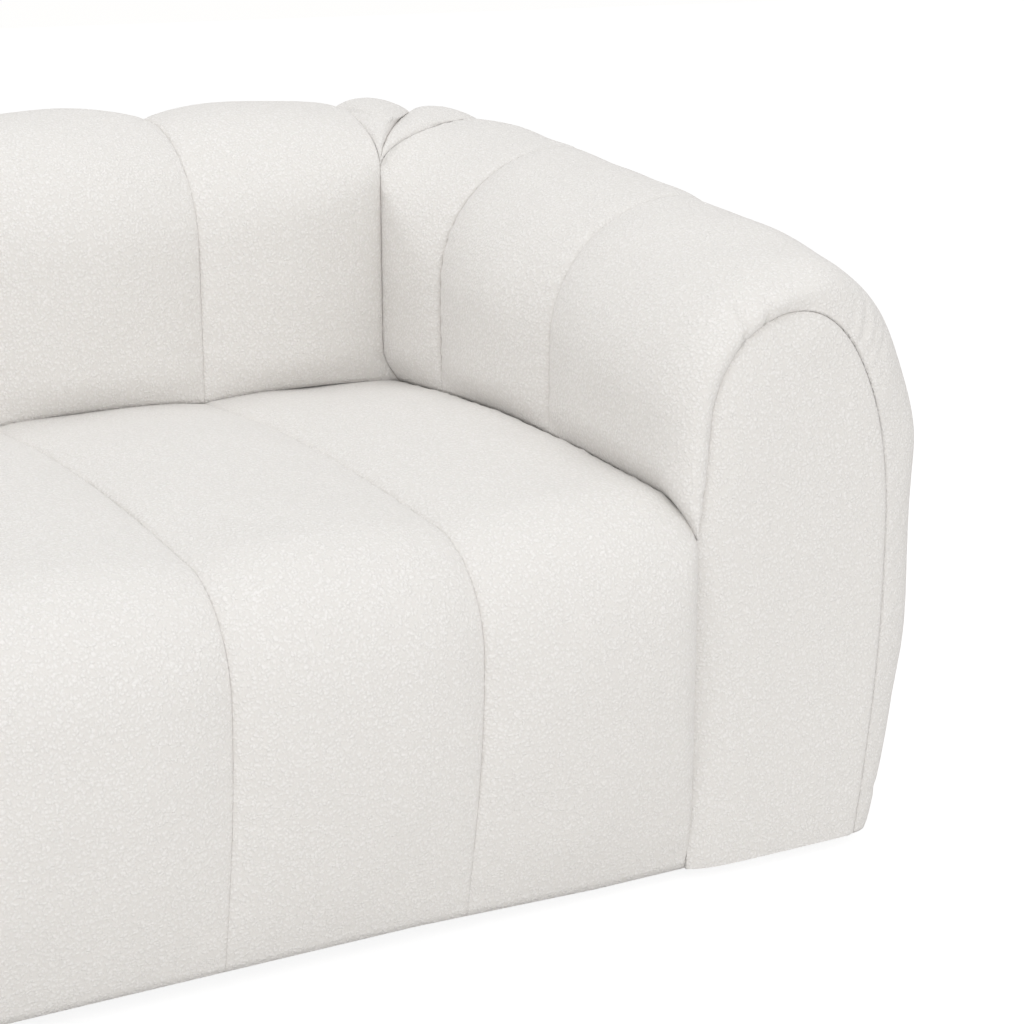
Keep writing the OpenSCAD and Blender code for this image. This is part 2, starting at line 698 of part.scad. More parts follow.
module back_webbing() {
    low = rail_top + 2 * clear;
    color("black") placed() for (i = [0 : web_count - 1])
        translate([-half_w + rail_t + web_pitch * (i + 1 / 2) - web_w / 2,
            seat_depth + back_set - clear - web_t, low])
            cube([web_w, web_t, back_top - low]);
}

module back_inner_foam() {
    front = pad_t + clear;
    low = rail_top + clear;
    color("khaki") placed() translate([-half_w + clear, seat_depth + front, low])
        cube([2 * (half_w - clear), back_set - web_t - 2 * clear - front, back_deck - clear - low]);
}

module back_deck_board() {
    color("tan") placed() translate([-half_w + clear, seat_depth + back_set, back_top + clear])
        cube([2 * (half_w - clear), wall_t - board_in - back_set, deck_t]);
}

module back_top_foam() {
    color("khaki") placed() translate([0, seat_depth, 0]) along_back(2 * (half_w - clear))
        polygon(concat([[board_in, back_deck]], arch(insets(board_in), back_h, back_drop)));
}

// Bent board under the outer padding, from the top given down to the underside of the frame
module board_section(top, inset) {
    heights = [top, upright_h, upright_h / foot_points, frame_lift];
    polygon(concat(
        [for (z = heights) [side_d(z, inset), z]],
        [for (z = reversed(heights)) [side_d(z, inset + board_t), z]]
    ));
}

module back_outer_board() {
    color("peru") placed() translate([0, seat_depth, 0])
        along_back(2 * (half_w - clear)) board_section(back_top, board_in);
}

// Frame of an arm
module former_section(top_line) {
    heights = [upright_h, upright_h / foot_points, frame_lift];
    polygon(concat(
        [[clear, frame_lift], [clear, arm_step], [board_in, arm_step]],
        top_line,
        [for (z = heights) [side_d(z, board_in), z]]
    ));
}

module arm_front_former(side) {
    color("tan") placed() on_side(side) along_arm(former_y, ply_t)
        former_section(arch(insets(board_in), arm_h(former_y), arm_drop));
}

module arm_rear_formers() {
    color("tan") placed() for (side = ["left", "right"]) on_side(side) along_arm(rear_former_y, ply_t)
        former_section([[board_in, arm_top], [wall_t - board_in, arm_top]]);
}

module arm_rails(side) {
    low_d = 2 * clear + board_t;
    low_out = side_d(frame_lift, frame_in) - rail_t;
    color("burlywood") placed() on_side(side) {
        difference() {
            along_arm(boards_y, boards_l) translate([low_d, frame_lift]) square([rail_t, low_rail_h]);
            translate([half_w + low_d - overrun, 0, 0]) bolt_bore(rail_t + 2 * overrun);
        }
        along_arm(boards_y, boards_l) translate([low_out, frame_lift]) square([rail_t, low_rail_h]);
        for (d = [board_in, wall_t - frame_in - rail_t])
            along_arm(boards_y, boards_l) translate([d, arm_step + clear])
                square([rail_t, arm_top - arm_step - clear]);
    }
}

module arm_boards(side) {
    color("peru") placed() on_side(side) {
        difference() {
            along_arm(boards_y, boards_l) translate([clear, frame_lift])
                square([board_t, arm_step - frame_lift]);
            translate([half_w - overrun, 0, 0]) bolt_bore(board_t + 2 * overrun);
        }
        along_arm(boards_y, boards_l) board_section(arm_top, board_in);
        along_arm(boards_y, seat_depth - clear - boards_y) translate([board_in, arm_top + clear])
            square([wall_t - 2 * board_in, deck_t]);
    }
}

// Foam on the arm's deck. At its rear end it turns into the corner with the rear channel.
module arm_top_foam(side) {
    inset = board_in + clear;
    function ring(h, drop) = concat([[inset, arm_deck]], arch(insets(inset), h, drop),
        [[wall_t - inset, arm_deck]]);
    color("khaki") placed() on_side(side) ring_solid(concat(
        [[for (p = ring(arm_h(boards_y), arm_drop)) spun(p, 90, boards_y)]],
        [for (k = [0 : spans]) [for (p = ring(rear_top(k), rear_drop(k))) turned(p, across(k), rear_turn)]]
    ));
}

// Frame of a corner: a post and two quarter-round formers
module corner_frame(side) {
    reach = corner_in + board_t + clear;
    color("tan") placed() on_side(side) translate([half_w, seat_depth, 0]) {
        translate([clear, clear, frame_lift]) cube([post_w, post_w, arm_deck - clear - frame_lift]);
        for (z = [frame_lift, arm_deck - clear - ply_t]) difference() {
            translate([0, 0, z]) rotate_extrude(angle = 90) square([side_d(z, reach), ply_t]);
            translate([-overrun, -overrun, z - overrun])
                cube([post_w + 2 * clear + overrun, post_w + 2 * clear + overrun, ply_t + 2 * overrun]);
        }
    }
}

module corner_boards() {
    color("peru") placed() for (side = ["left", "right"]) on_side(side)
        translate([half_w, seat_depth, 0]) rotate_extrude(angle = 90)
            board_section(arm_deck - clear, corner_in);
}

module corner_foam(side) {
    function ring(a) = let (h = corner_h(a)) concat([[corner_in, arm_deck]],
        arch(insets(corner_in), h, h - fan_h), [[wall_t - corner_in, arm_deck]]);
    color("khaki") placed() on_side(side) ring_solid([for (a = [fan_angles[2] : -fan_step : 0])
        [for (p = ring(a)) [half_w + p[0] * sin(a), seat_depth + p[0] * cos(a), p[1]]]]);
}

// Feet, as [x, y] of their centres
arm_foot_d = (2 * clear + board_t + side_d(frame_lift, frame_in)) / 2;
arm_block_w = side_d(frame_lift, frame_in) - board_t - 2 * rail_t - 4 * clear;
foot_places = [for (y = [boards_y + block_l / 2, boards_y + boards_l - block_l / 2])
    for (x = [-half_w - arm_foot_d, half_w + arm_foot_d]) [x, y]];
middle_places = [[0, cross_y + block_l / 2], [0, cross_y + cross_l - block_l / 2]];

module foot_blocks() {
    color("burlywood") placed() difference() {
        union() {
            for (p = foot_places) translate([p[0] - arm_block_w / 2, p[1] - block_l / 2, frame_lift])
                cube([arm_block_w, block_l, low_rail_h]);
            for (p = middle_places) translate([p[0] - block_l / 2, p[1] - block_l / 2, frame_lift])
                cube([block_l, block_l, low_rail_h]);
        }
        for (p = concat(foot_places, middle_places)) translate([p[0], p[1], frame_lift - overrun])
            cylinder(r = bolt_r + clear, h = bolt_grip + 2 * overrun);
    }
}

module dust_cover() {
    reach = side_d(0, corner_in);
    depth = seat_depth - front_rail_y;
    color("dimgray") placed() translate([0, 0, frame_lift - clear - dust_t])
        linear_extrude(dust_t) difference() {
        union() {
            translate([-half_w - reach, front_rail_y]) square([2 * (half_w + reach), depth]);
            translate([-half_w, front_rail_y]) square([2 * half_w, depth + reach]);
            for (x = [-half_w, half_w]) translate([x, seat_depth]) circle(r = reach);
        }
        for (p = concat(foot_places, middle_places)) translate(p) circle(r = bolt_r + clear);
    }
}

module feet() {
    color("black") placed() for (p = concat(foot_places, middle_places)) translate([p[0], p[1], -foot_h])
        difference() {
            cylinder(r1 = foot_r, r2 = foot_top_r, h = foot_l);
            translate([0, 0, -overrun]) cylinder(r = bolt_r + clear, h = foot_l + 2 * overrun);
            translate([0, 0, -overrun])
                cylinder(r = head_r + clear, h = head_sink + head_h + clear + overrun);
        }
}

module foot_bolts() {
    color("silver") placed() for (p = concat(foot_places, middle_places))
        translate([p[0], p[1], head_sink - foot_h]) {
            cylinder(r = head_r, h = head_h);
            cylinder(r = bolt_r, h = foot_h - head_sink + frame_lift + bolt_grip);
        }
}

// Bolts and nuts that hold the arms to the seat frame
module arm_bolts() {
    start = half_w - rail_t - 2 * clear;
    grip = 2 * rail_t + board_t + 4 * clear;
    color("silver") placed() for (side = ["left", "right"]) on_side(side) for (s = bolt_shares)
        translate([start, lerp(boards_y, rear_former_y, s), bolt_z]) rotate([0, 90, 0]) {
            translate([0, 0, -head_h]) cylinder(r = head_r, h = head_h);
            cylinder(r = bolt_r, h = grip + head_h + bolt_r);
            translate([0, 0, grip + clear]) difference() {
                cylinder(r = head_r, h = head_h, $fn = 6);
                translate([0, 0, -overrun]) cylinder(r = bolt_r + clear / 2, h = head_h + 2 * overrun);
            }
        }
}

for (i = [1 : channels]) seat_channel(i);
for (i = [1 : channels]) back_channel(i);
for (side = ["left", "right"]) for (i = [1 : 2])
    corner_channel(side, i);
for (side = ["left", "right"]) for (i = [1 : 3])
    arm_channel(side, i);
arm_front_panel("left");  // arm_front_panel_left
arm_front_panel("right");  // arm_front_panel_right
seat_foam();
spring_felt();
seat_springs();
spring_clips();
spring_tie_wires();
seat_front_rail();
seat_rear_rail();
seat_cross_rails();
seat_corner_blocks();
back_ribs();
back_rails();
back_webbing();
back_inner_foam();
back_deck_board();
back_top_foam();
back_outer_board();
arm_front_former("left");  // arm_front_former_left
arm_front_former("right");  // arm_front_former_right
arm_rear_formers();
arm_rails("left");  // arm_rails_left
arm_rails("right");  // arm_rails_right
arm_boards("left");  // arm_boards_left
arm_boards("right");  // arm_boards_right
arm_top_foam("left");  // arm_top_foam_left
arm_top_foam("right");  // arm_top_foam_right
corner_frame("left");  // corner_frame_left
corner_frame("right");  // corner_frame_right
corner_foam("left");  // corner_foam_left
corner_foam("right");  // corner_foam_right
corner_boards();
dust_cover();
foot_blocks();
feet();
foot_bolts();
arm_bolts();
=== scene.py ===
"""Dresses the tuxedo sofa: padded boucle channels, the frame inside them, the studio and the camera."""

import json
import logging
import math
from dataclasses import dataclass
from enum import Enum
from functools import reduce
from typing import Callable, Iterable, Sequence

import bmesh
import bpy
import numpy as np
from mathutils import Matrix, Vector

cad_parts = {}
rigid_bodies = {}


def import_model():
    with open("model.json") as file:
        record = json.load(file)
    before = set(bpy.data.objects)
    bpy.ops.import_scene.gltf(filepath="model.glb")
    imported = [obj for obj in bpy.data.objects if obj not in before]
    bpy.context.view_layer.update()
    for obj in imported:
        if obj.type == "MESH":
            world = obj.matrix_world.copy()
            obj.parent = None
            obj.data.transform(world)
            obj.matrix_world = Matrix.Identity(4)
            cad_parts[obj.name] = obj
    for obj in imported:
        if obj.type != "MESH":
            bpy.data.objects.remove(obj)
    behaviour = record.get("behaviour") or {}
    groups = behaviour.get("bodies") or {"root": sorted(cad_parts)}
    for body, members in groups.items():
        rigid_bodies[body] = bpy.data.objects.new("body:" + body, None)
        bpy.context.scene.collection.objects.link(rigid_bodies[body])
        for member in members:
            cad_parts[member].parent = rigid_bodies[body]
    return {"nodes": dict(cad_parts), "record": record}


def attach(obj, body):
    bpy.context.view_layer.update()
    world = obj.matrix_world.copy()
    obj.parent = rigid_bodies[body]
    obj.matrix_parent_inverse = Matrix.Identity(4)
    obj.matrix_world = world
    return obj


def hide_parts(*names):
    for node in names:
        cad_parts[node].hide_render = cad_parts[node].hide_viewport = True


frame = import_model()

log = logging.getLogger("sofa")

Node = bpy.types.Node
Socket = bpy.types.NodeSocket
Colour = tuple[float, float, float]
Place = tuple[float, float, float]
# The outer points of a cover and the points of its lining
Grids = tuple[np.ndarray, np.ndarray]

# A lining has one point for every FINE of its cover's outer points, in both directions
FINE = 4
# Distance from a seam that stands for none near
FAR = 0.05


class Side(Enum):
    """The two ends of the sofa, as the sign of their x."""

    LEFT = -1
    RIGHT = 1

    @property
    def word(self) -> str:
        """The side's word in node names."""
        return self.name.lower()


# Curves and grids


def curve(*parts: object) -> np.ndarray:
    """Points from their coordinates, where a plain number holds for all of them."""
    return np.stack(np.broadcast_arrays(*parts), -1)


def quarter(count: int) -> np.ndarray:
    """Angles of a quarter turn in even steps, in radians."""
    return np.radians(np.linspace(0, 90, count))


def eased(count: int) -> np.ndarray:
    """Stations from 0 to 1 that lie close together at both ends."""
    return (1 - np.cos(np.linspace(0, math.pi, count))) / 2


def gentle(share: object) -> np.ndarray:
    """A share from 0 to 1 that starts and ends without a kink."""
    share = np.clip(share, 0, 1)
    return share**2 * (3 - 2 * share)


def swell(share: float) -> float:
    """Crown of a channel, full in the middle and steep at both seams.

    Args:
        share: Share of the channel's width.

    Returns:
        Share of the full crown.
    """
    power, soft = 0.6, 0.02
    rise = (max(0.0, 4 * share * (1 - share)) + soft) ** power - soft**power
    return rise / ((1 + soft) ** power - soft**power)


def run_along(grid: np.ndarray, axis: int = 0) -> np.ndarray:
    """Measures the way from a grid's first points to each of its points.

    Args:
        grid: A line or a grid of points.
        axis: Direction in which the way runs.

    Returns:
        One length for each point.
    """
    steps = np.linalg.norm(np.diff(grid, axis=axis), axis=-1)
    start = np.zeros_like(np.take(steps, [0], axis=axis))
    return np.concatenate([start, np.cumsum(steps, axis=axis)], axis=axis)


def evenly(line: np.ndarray, count: int, guide: np.ndarray | None = None) -> np.ndarray:
    """Takes points at even steps along a polyline.

    Args:
        line: Points of the polyline, one a row.
        count: Number of points to take.
        guide: Polyline with as many points that the steps are measured on, the line itself if none.

    Returns:
        The points taken, both ends of the line included.
    """
    run = run_along(line if guide is None else guide)
    marks = np.linspace(0, run[-1], count)
    return curve(*(np.interp(marks, run, part) for part in line.T))


def coarse(count: int) -> int:
    """Number of lining points below that many outer points."""
    return (count - 1) // FINE + 1


def lofted(lines: Callable[[float], Grids], rows: int) -> Grids:
    """Sets up a channel from its sections.

    Args:
        lines: Gives the outer line and the lining's line at a share of the channel's width.
        rows: Number of rows across the channel.

    Returns:
        The channel's outer grid and its lining.
    """
    pairs = [lines(share) for share in eased(rows)]
    return np.array([outer for outer, _ in pairs]), np.array([under for _, under in pairs[::FINE]])


def mirrored(grid: np.ndarray) -> np.ndarray:
    """The same grid on the other side of the sofa's middle plane."""
    return grid * np.array([-1.0, 1.0, 1.0])


def quads(numbers: np.ndarray) -> np.ndarray:
    """Four-sided faces between the neighbours in a grid of point numbers."""
    here, there = numbers[:-1], numbers[1:]
    return np.stack([here[:, :-1], there[:, :-1], there[:, 1:], here[:, 1:]], -1).reshape(-1, 4)


def turned_over(faces: np.ndarray) -> np.ndarray:
    """The same faces, seen from behind, each from the same first point."""
    return np.roll(faces[:, ::-1], 1, axis=1)


def normals(outer: np.ndarray, lining: np.ndarray) -> np.ndarray:
    """Works out which way a cover's outer points face.

    Args:
        outer: The cover's outer grid.
        lining: Its lining.

    Returns:
        A normal for each outer point that points away from the lining.
    """
    normal = np.cross(np.gradient(outer, axis=0), np.gradient(outer, axis=1))
    normal /= np.linalg.norm(normal, axis=2, keepdims=True) + 1e-12
    i, j = outer.shape[0] // 2, outer.shape[1] // 2
    inward = lining[i // FINE, j // FINE] - outer[i, j]
    return -normal if np.dot(normal[i, j], inward) > 0 else normal


@dataclass(frozen=True)
class SofaForm:
    """Sizes of the sofa in metres, and the section curves that all its channels share.

    The curves are drawn from the seat's lower front edge: a depth to the back, or a distance
    outwards from the inner side of a wall, and a height above the covers' lower edge.
    """

    channels: int = 6
    channel_w: float = 0.252
    crown: float = 0.020
    crest_crown: float = 0.017
    arm_crest_crown: float = 0.004
    pad: float = 0.030
    gap: float = 0.0003
    foot_h: float = 0.020

    seat_depth: float = 0.641
    seat_h: float = 0.378
    seat_dome: float = 0.015
    front_bulge: float = 0.039
    bulge_h: float = 0.275
    nose_depth: float = 0.100
    foam_nose_r: float = 0.060
    foam_nose_points: int = 9
    rear_fall: float = 0.7
    rear_fall_from: float = 0.4
    no_limit: float = 1.0
    limit_power: int = 6

    wall: float = 0.265
    crest: float = 0.157
    back_h: float = 0.692
    arm_front_h: float = 0.606
    arm_rear_h: float = 0.675
    fan_h: float = 0.640
    back_drop: float = 0.130
    arm_drop: float = 0.145
    outer_drop: float = 0.180
    draw_in: float = 0.025
    draw_power: float = 1.737
    upright_h: float = 0.270
    fade: float = 0.6
    fade_power: float = 2.4
    tuck_rise: float = 0.045

    arm_front_l: float = 0.280
    arm_mid_l: float = 0.250
    front_dip: float = 0.008
    front_draw: float = 0.010
    front_crest: float = 0.006
    front_fade_l: float = 0.200
    shoulder: float = 0.17

    sag: float = 0.006
    sag_h: float = 0.1
    sag_depth: float = 0.5
    sag_from: float = 0.45
    sag_w: float = 0.2

    arc_points: int = 25
    side_points: int = 24
    tuck_points: int = 12
    seat_points: tuple[int, int, int] = (16, 19, 40)

    @property
    def half_w(self) -> float:
        """Half the width between the arms."""
        return self.channels * self.channel_w / 2

    @property
    def front_y(self) -> float:
        """Place of the lower ends of the seat's front seams."""
        full = self.front_bulge + self.seat_depth + self.wall + 2 * self.crown
        return self.front_bulge + self.crown - full / 2

    @property
    def nose_end(self) -> float:
        """Depth at which the seat's nose has turned level."""
        return self.nose_depth - self.front_bulge

    @property
    def seat_end(self) -> float:
        """Depth at which the seat's cover ends below the back."""
        return self.seat_depth + self.pad - self.gap

    @property
    def arm_mid_end(self) -> float:
        """Depth of the seam between the middle and the rear arm channel."""
        return self.arm_front_l + self.arm_mid_l

    def placed(self, points: np.ndarray) -> np.ndarray:
        """Brings points into the sofa's own frame, and lets the lower edges hang towards the arms' fronts.

        Args:
            points: Points as drawn from the seat's lower front edge.

        Returns:
            The same points in the sofa's frame.
        """
        x, y, z = np.moveaxis(points, -1, 0)
        low = np.clip(1 - z / self.sag_h, 0, 1) * np.clip(1 - y / self.sag_depth, 0, 1)
        hang = self.sag * low * np.clip((abs(x) - self.sag_from) / self.sag_w, 0, 1)
        return curve(x, y + self.front_y, z - hang + self.foot_h)

    def channel_x(self, i: int, share: float) -> float:
        """Place of a share of the width of seat or back channel i, from its right edge."""
        return -self.half_w + self.channel_w * i - self.gap / 2 - (self.channel_w - self.gap) * share

    def seat_seam(self, y: float) -> float:
        """Follows the seat's seams.

        Args:
            y: Depth.

        Returns:
            Height of the seams there.
        """
        if y >= self.nose_end:
            share = (y - self.nose_end) / (self.seat_end - self.nose_end)
            return self.seat_h + self.seat_dome * math.sin(math.pi * share)
        reach = (self.nose_end - y) / self.nose_depth
        return self.bulge_h + (self.seat_h - self.bulge_h) * math.sqrt(max(0.0, 1 - reach**2))

    def seat_crown(self, y: float) -> float:
        """Share of the seat's crown that is left at the depth y, where it runs in below the back."""
        start = self.rear_fall_from
        return 1 - self.rear_fall * gentle((y - start) / (self.seat_depth - start))

    def arm_h(self, y: float) -> float:
        """Height of the arm's crest seams at the depth y."""
        return self.arm_front_h + (self.arm_rear_h - self.arm_front_h) * max(0.0, y) / self.seat_depth

    def front_share(self, y: float) -> float:
        """Share of the arm's front end shape that is left at the depth y."""
        return max(0.0, 1 - max(0.0, y) / self.front_fade_l) ** 2

    def seat_section(self, swelling: float, limit: float) -> np.ndarray:
        """Section of a seat cover from its lower front edge over the nose to the back.

        Args:
            swelling: How far the section lies outside the seams.
            limit: How far forward it may reach, which it nears softly.

        Returns:
            Points as depth and height.
        """
        front_points, nose_points, top_points = self.seat_points
        share = np.linspace(0, 1, front_points)
        front = curve(-(self.front_bulge + swelling) * np.sin(np.pi / 2 * share), self.bulge_h * share)
        turn = quarter(nose_points)[1:]
        nose = curve(
            self.nose_end - (self.nose_depth + swelling) * np.cos(turn),
            self.bulge_h + (self.seat_h - self.bulge_h + swelling) * np.sin(turn),
        )
        depth = np.linspace(self.nose_end, self.seat_end, top_points)[1:]
        top = curve(depth, [self.seat_seam(y) + swelling * self.seat_crown(y) for y in depth])
        line = np.concatenate([front, nose, top])
        reach = np.maximum(-line[:, 0], 0)
        power = self.limit_power
        line[:, 0] += reach - reach / (1 + (reach / limit) ** power) ** (1 / power)
        return line

    def seat_lining(self) -> np.ndarray:
        """Section of the underside of a seat cover, round its foam.

        Returns:
            Points as depth and height.
        """
        top = self.seat_h - self.pad
        low = top - self.foam_nose_r
        turn = quarter(self.foam_nose_points)
        nose = curve(self.pad + self.foam_nose_r * (1 - np.cos(turn)), low + self.foam_nose_r * np.sin(turn))
        return np.concatenate([[[self.pad, 0.0]], nose, [[self.seat_end, top]]])

    def rounding(
        self,
        in_d: float,
        crest: float,
        out_d: float,
        h: float,
        drops: tuple[float, float],
        power: float = 1.0,
    ) -> np.ndarray:
        """Rounding over a crest, from the inner to the outer side of a wall.

        Args:
            in_d: Distance of its inner end.
            crest: Distance of its highest point.
            out_d: Distance of its outer end.
            h: Height of its highest point.
            drops: How far it falls to its inner and to its outer end.
            power: Power of the outer arc, above 1 for a shoulder that is drawn in.

        Returns:
            Points as distance and height.
        """
        turn = quarter(self.arc_points)
        inner = curve(crest - (crest - in_d) * np.cos(turn), h - drops[0] + drops[0] * np.sin(turn))
        turn = turn[1:]
        outer = curve(
            crest + (out_d - crest) * np.sin(turn) ** power,
            h - drops[1] + drops[1] * np.clip(np.cos(turn), 0, None) ** power,
        )
        return np.concatenate([inner, outer])

    def arch(self, swells: Sequence[float], h: float, drop: float, front: float = 0.0) -> np.ndarray:
        """Rounding of a wall's cover.

        Args:
            swells: How far it lies outside its seams on the inner side, the top and the outer side.
            h: Height of the crest seams.
            drop: How far the inner rounding falls.
            front: Share of the arm's front end shape.

        Returns:
            Points as distance and height.
        """
        return self.rounding(
            -swells[0],
            self.crest - self.front_crest * front,
            self.wall + swells[2],
            h + swells[1] - self.front_dip * front,
            (drop + swells[1], self.outer_drop + swells[1]),
            1 + self.shoulder * front,
        )

    def outer_side(self, swelling: float, front: float = 0.0) -> np.ndarray:
        """Outer side of a wall down to its lower edge, where the swelling fades out.

        Args:
            swelling: How far it lies outside its seams, below none for a lining.
            front: Share of the arm's front end shape.

        Returns:
            Points as distance and height.
        """
        share = np.linspace(0, 1, self.side_points)
        left = 1 - self.fade * share**self.fade_power if swelling > 0 else 1.0
        draw = (self.draw_in + self.front_draw * front) * share**self.draw_power
        return curve(self.wall - draw + swelling * left, self.upright_h * (1 - share))

    def cover_section(
        self, swells: Sequence[float], h: float, drop: float, seat_z: float, front: float = 0.0
    ) -> np.ndarray:
        """Section of a wall's cover from the seat over the crest to the lower outer edge.

        Args:
            swells: How far it lies outside its seams on the inner side, the top and the outer side.
            h: Height of the crest seams.
            drop: How far the inner rounding falls.
            seat_z: Height at which it leaves the seat.
            front: Share of the arm's front end shape.

        Returns:
            Points as distance and height.
        """
        share = np.linspace(0, 1, self.tuck_points)[:-1]
        tuck = curve(-swells[0] * np.sin(np.pi / 2 * share), seat_z + self.tuck_rise * share)
        return np.concatenate([tuck, self.arch(swells, h, drop, front), self.outer_side(swells[2], front)])

    def lining_section(self, h: float, drop: float, seat_z: float | None) -> np.ndarray:
        """Section of a wall cover's lining, a padding's thickness inside its seams.

        Args:
            h: Height of the crest seams.
            drop: How far the inner rounding falls.
            seat_z: Height at which it leaves the seat, or none where it starts at the rounding.

        Returns:
            Points as distance and height.
        """
        start = np.zeros((0, 2)) if seat_z is None else [[self.pad, seat_z]]
        return np.concatenate([start, self.arch((-self.pad,) * 3, h, drop), self.outer_side(-self.pad)])

    def under(self, line: np.ndarray, depth: float) -> np.ndarray:
        """Moves a section's points into the wall.

        Args:
            line: The section, as distance and height.
            depth: How far they move.

        Returns:
            The points of the moved section.
        """
        way = np.gradient(line, axis=0)
        way /= np.linalg.norm(way, axis=1, keepdims=True)
        return line + depth * curve(way[:, 1], -way[:, 0])

    def corner_drop(self, h: float, drop: float, share: float) -> float:
        """How far the inner rounding falls at a share of the way from the corner to the next seam."""
        tight = h - self.fan_h
        return tight + (drop - tight) * min(1.0, math.sqrt(max(0.0, share)))

    def inward(self, line: np.ndarray, seat_z: float, drop: float, h: float) -> np.ndarray:
        """Finds how much of an inward shift each point of a wall's section takes.

        Args:
            line: The section, as distance and height.
            seat_z: Height at which it leaves the seat.
            drop: How far the inner rounding falls.
            h: Height of the crest seams.

        Returns:
            1 on the inner side up to the rounding, none at the seat and from the crest on.
        """
        rise = np.clip((line[:, 1] - seat_z) / self.tuck_rise, 0, 1)
        turn = np.clip((line[:, 1] - (h - drop)) / drop, 0, 1)
        share = np.sin(np.pi / 2 * rise) * np.sqrt(np.clip(1 - turn**2, 0, 1))
        share[int(np.argmax(line[:, 1])) :] = 0
        return share


# Finishes


class Shader:
    """A node tree, with short ways to add to it."""

    def __init__(self, tree: bpy.types.NodeTree) -> None:
        """Keeps the tree that nodes are added to."""
        self.tree = tree

    def feed(self, socket: Socket, value: object) -> None:
        """Gives a socket what it takes.

        Args:
            socket: The socket.
            value: Another socket to link it to, or its value.
        """
        if isinstance(value, Socket):
            self.tree.links.new(value, socket)
        else:
            socket.default_value = value

    def node(self, kind: str, settings: dict | None = None, *values: object, **inputs: object) -> Node:
        """Adds a node and feeds its inputs.

        Args:
            kind: Blender's name of the node type.
            settings: Properties of the node.
            values: Values or sockets of its first inputs, in order.
            inputs: Values or sockets by input name, with _ for a blank.

        Returns:
            The new node.
        """
        made = self.tree.nodes.new(kind)
        for name, value in (settings or {}).items():
            setattr(made, name, value)
        for socket, value in zip(made.inputs, values):
            self.feed(socket, value)
        for name, value in inputs.items():
            self.feed(made.inputs[name.replace("_", " ")], value)
        return made

    def maths(self, operation: str, *values: object) -> Socket:
        """Result of a maths node on the values or sockets given."""
        return self.node("ShaderNodeMath", {"operation": operation}, *values).outputs[0]

    def total(self, *parts: tuple[Socket, float]) -> Socket:
        """Adds up values.

        Args:
            parts: Each value and the share of it that counts.

        Returns:
            Their sum.
        """
        counted = [self.maths("MULTIPLY", *part) for part in parts]
        return reduce(lambda whole, part: self.maths("ADD", whole, part), counted)

    def span(self, value: Socket, low: float, high: float, *to: float) -> Socket:
        """A value's range from low to high, smoothly mapped to the range given, or from 0 to 1."""
        smooth = {"interpolation_type": "SMOOTHSTEP"}
        return self.node("ShaderNodeMapRange", smooth, value, low, high, *to).outputs[0]

    def blend(self, share: Socket, first: Socket | Colour, second: Socket | Colour) -> Socket:
        """Mixes two colours.

        Args:
            share: Share of the second colour.
            first: Colour or socket.
            second: Colour or socket.

        Returns:
            The mixed colour.
        """
        made = self.node("ShaderNodeMix", {"data_type": "RGBA"}, share)
        for socket, value in ((made.inputs[6], first), (made.inputs[7], second)):
            self.feed(socket, (*value, 1.0) if isinstance(value, tuple) else value)
        return made.outputs[2]

    def place(self) -> Socket:
        """Place on the object in metres."""
        return self.node("ShaderNodeTexCoord").outputs["Object"]

    def noise(self, scale: float, detail: float = 2.0, roughness: float = 0.5) -> Socket:
        """Value of a noise texture over the object."""
        words = {"Scale": scale, "Detail": detail, "Roughness": roughness}
        return self.node("ShaderNodeTexNoise", Vector=self.place(), **words).outputs[0]

    def bump(self, height: Socket, depth: float) -> Socket:
        """Normal that a height from 0 to 1 bends, where 1 is that many metres."""
        return self.node("ShaderNodeBump", Height=height, Distance=depth, Strength=1.0).outputs[0]


class Effect:
    """A shader effect that several materials share, as a node group that is built once."""

    name: str
    inputs: dict[str, float]

    def values(self, shader: Shader, given: dict[str, Socket]) -> dict[str, Socket]:
        """Adds the effect's nodes.

        Args:
            shader: The group's nodes.
            given: The group's input sockets by name.

        Returns:
            What the group puts out, by name.
        """
        raise NotImplementedError

    def tree(self) -> bpy.types.NodeTree:
        """Finds the effect's node group, and makes it at its first use.

        Returns:
            The node group.
        """
        made = bpy.data.node_groups.get(self.name)
        if made is not None:
            return made
        made = bpy.data.node_groups.new(self.name, "ShaderNodeTree")
        number = "NodeSocketFloat"
        for word, value in self.inputs.items():
            made.interface.new_socket(word, in_out="INPUT", socket_type=number).default_value = value
        entry = made.nodes.new("NodeGroupInput")
        shader = Shader(made)
        values = self.values(shader, {socket.name: socket for socket in entry.outputs})
        for word in values:
            made.interface.new_socket(word, in_out="OUTPUT", socket_type=number)
        shader.node("NodeGroupOutput", None, *values.values())
        return made

    def placed(self, shader: Shader, **inputs: float) -> dict[str, Socket]:
        """Places the effect in a material.

        Args:
            shader: The material's nodes.
            inputs: The effect's inputs in this material.

        Returns:
            The effect's outputs by name.
        """
        made = shader.node("ShaderNodeGroup", {"node_tree": self.tree()}, **inputs)
        return {socket.name: socket for socket in made.outputs}


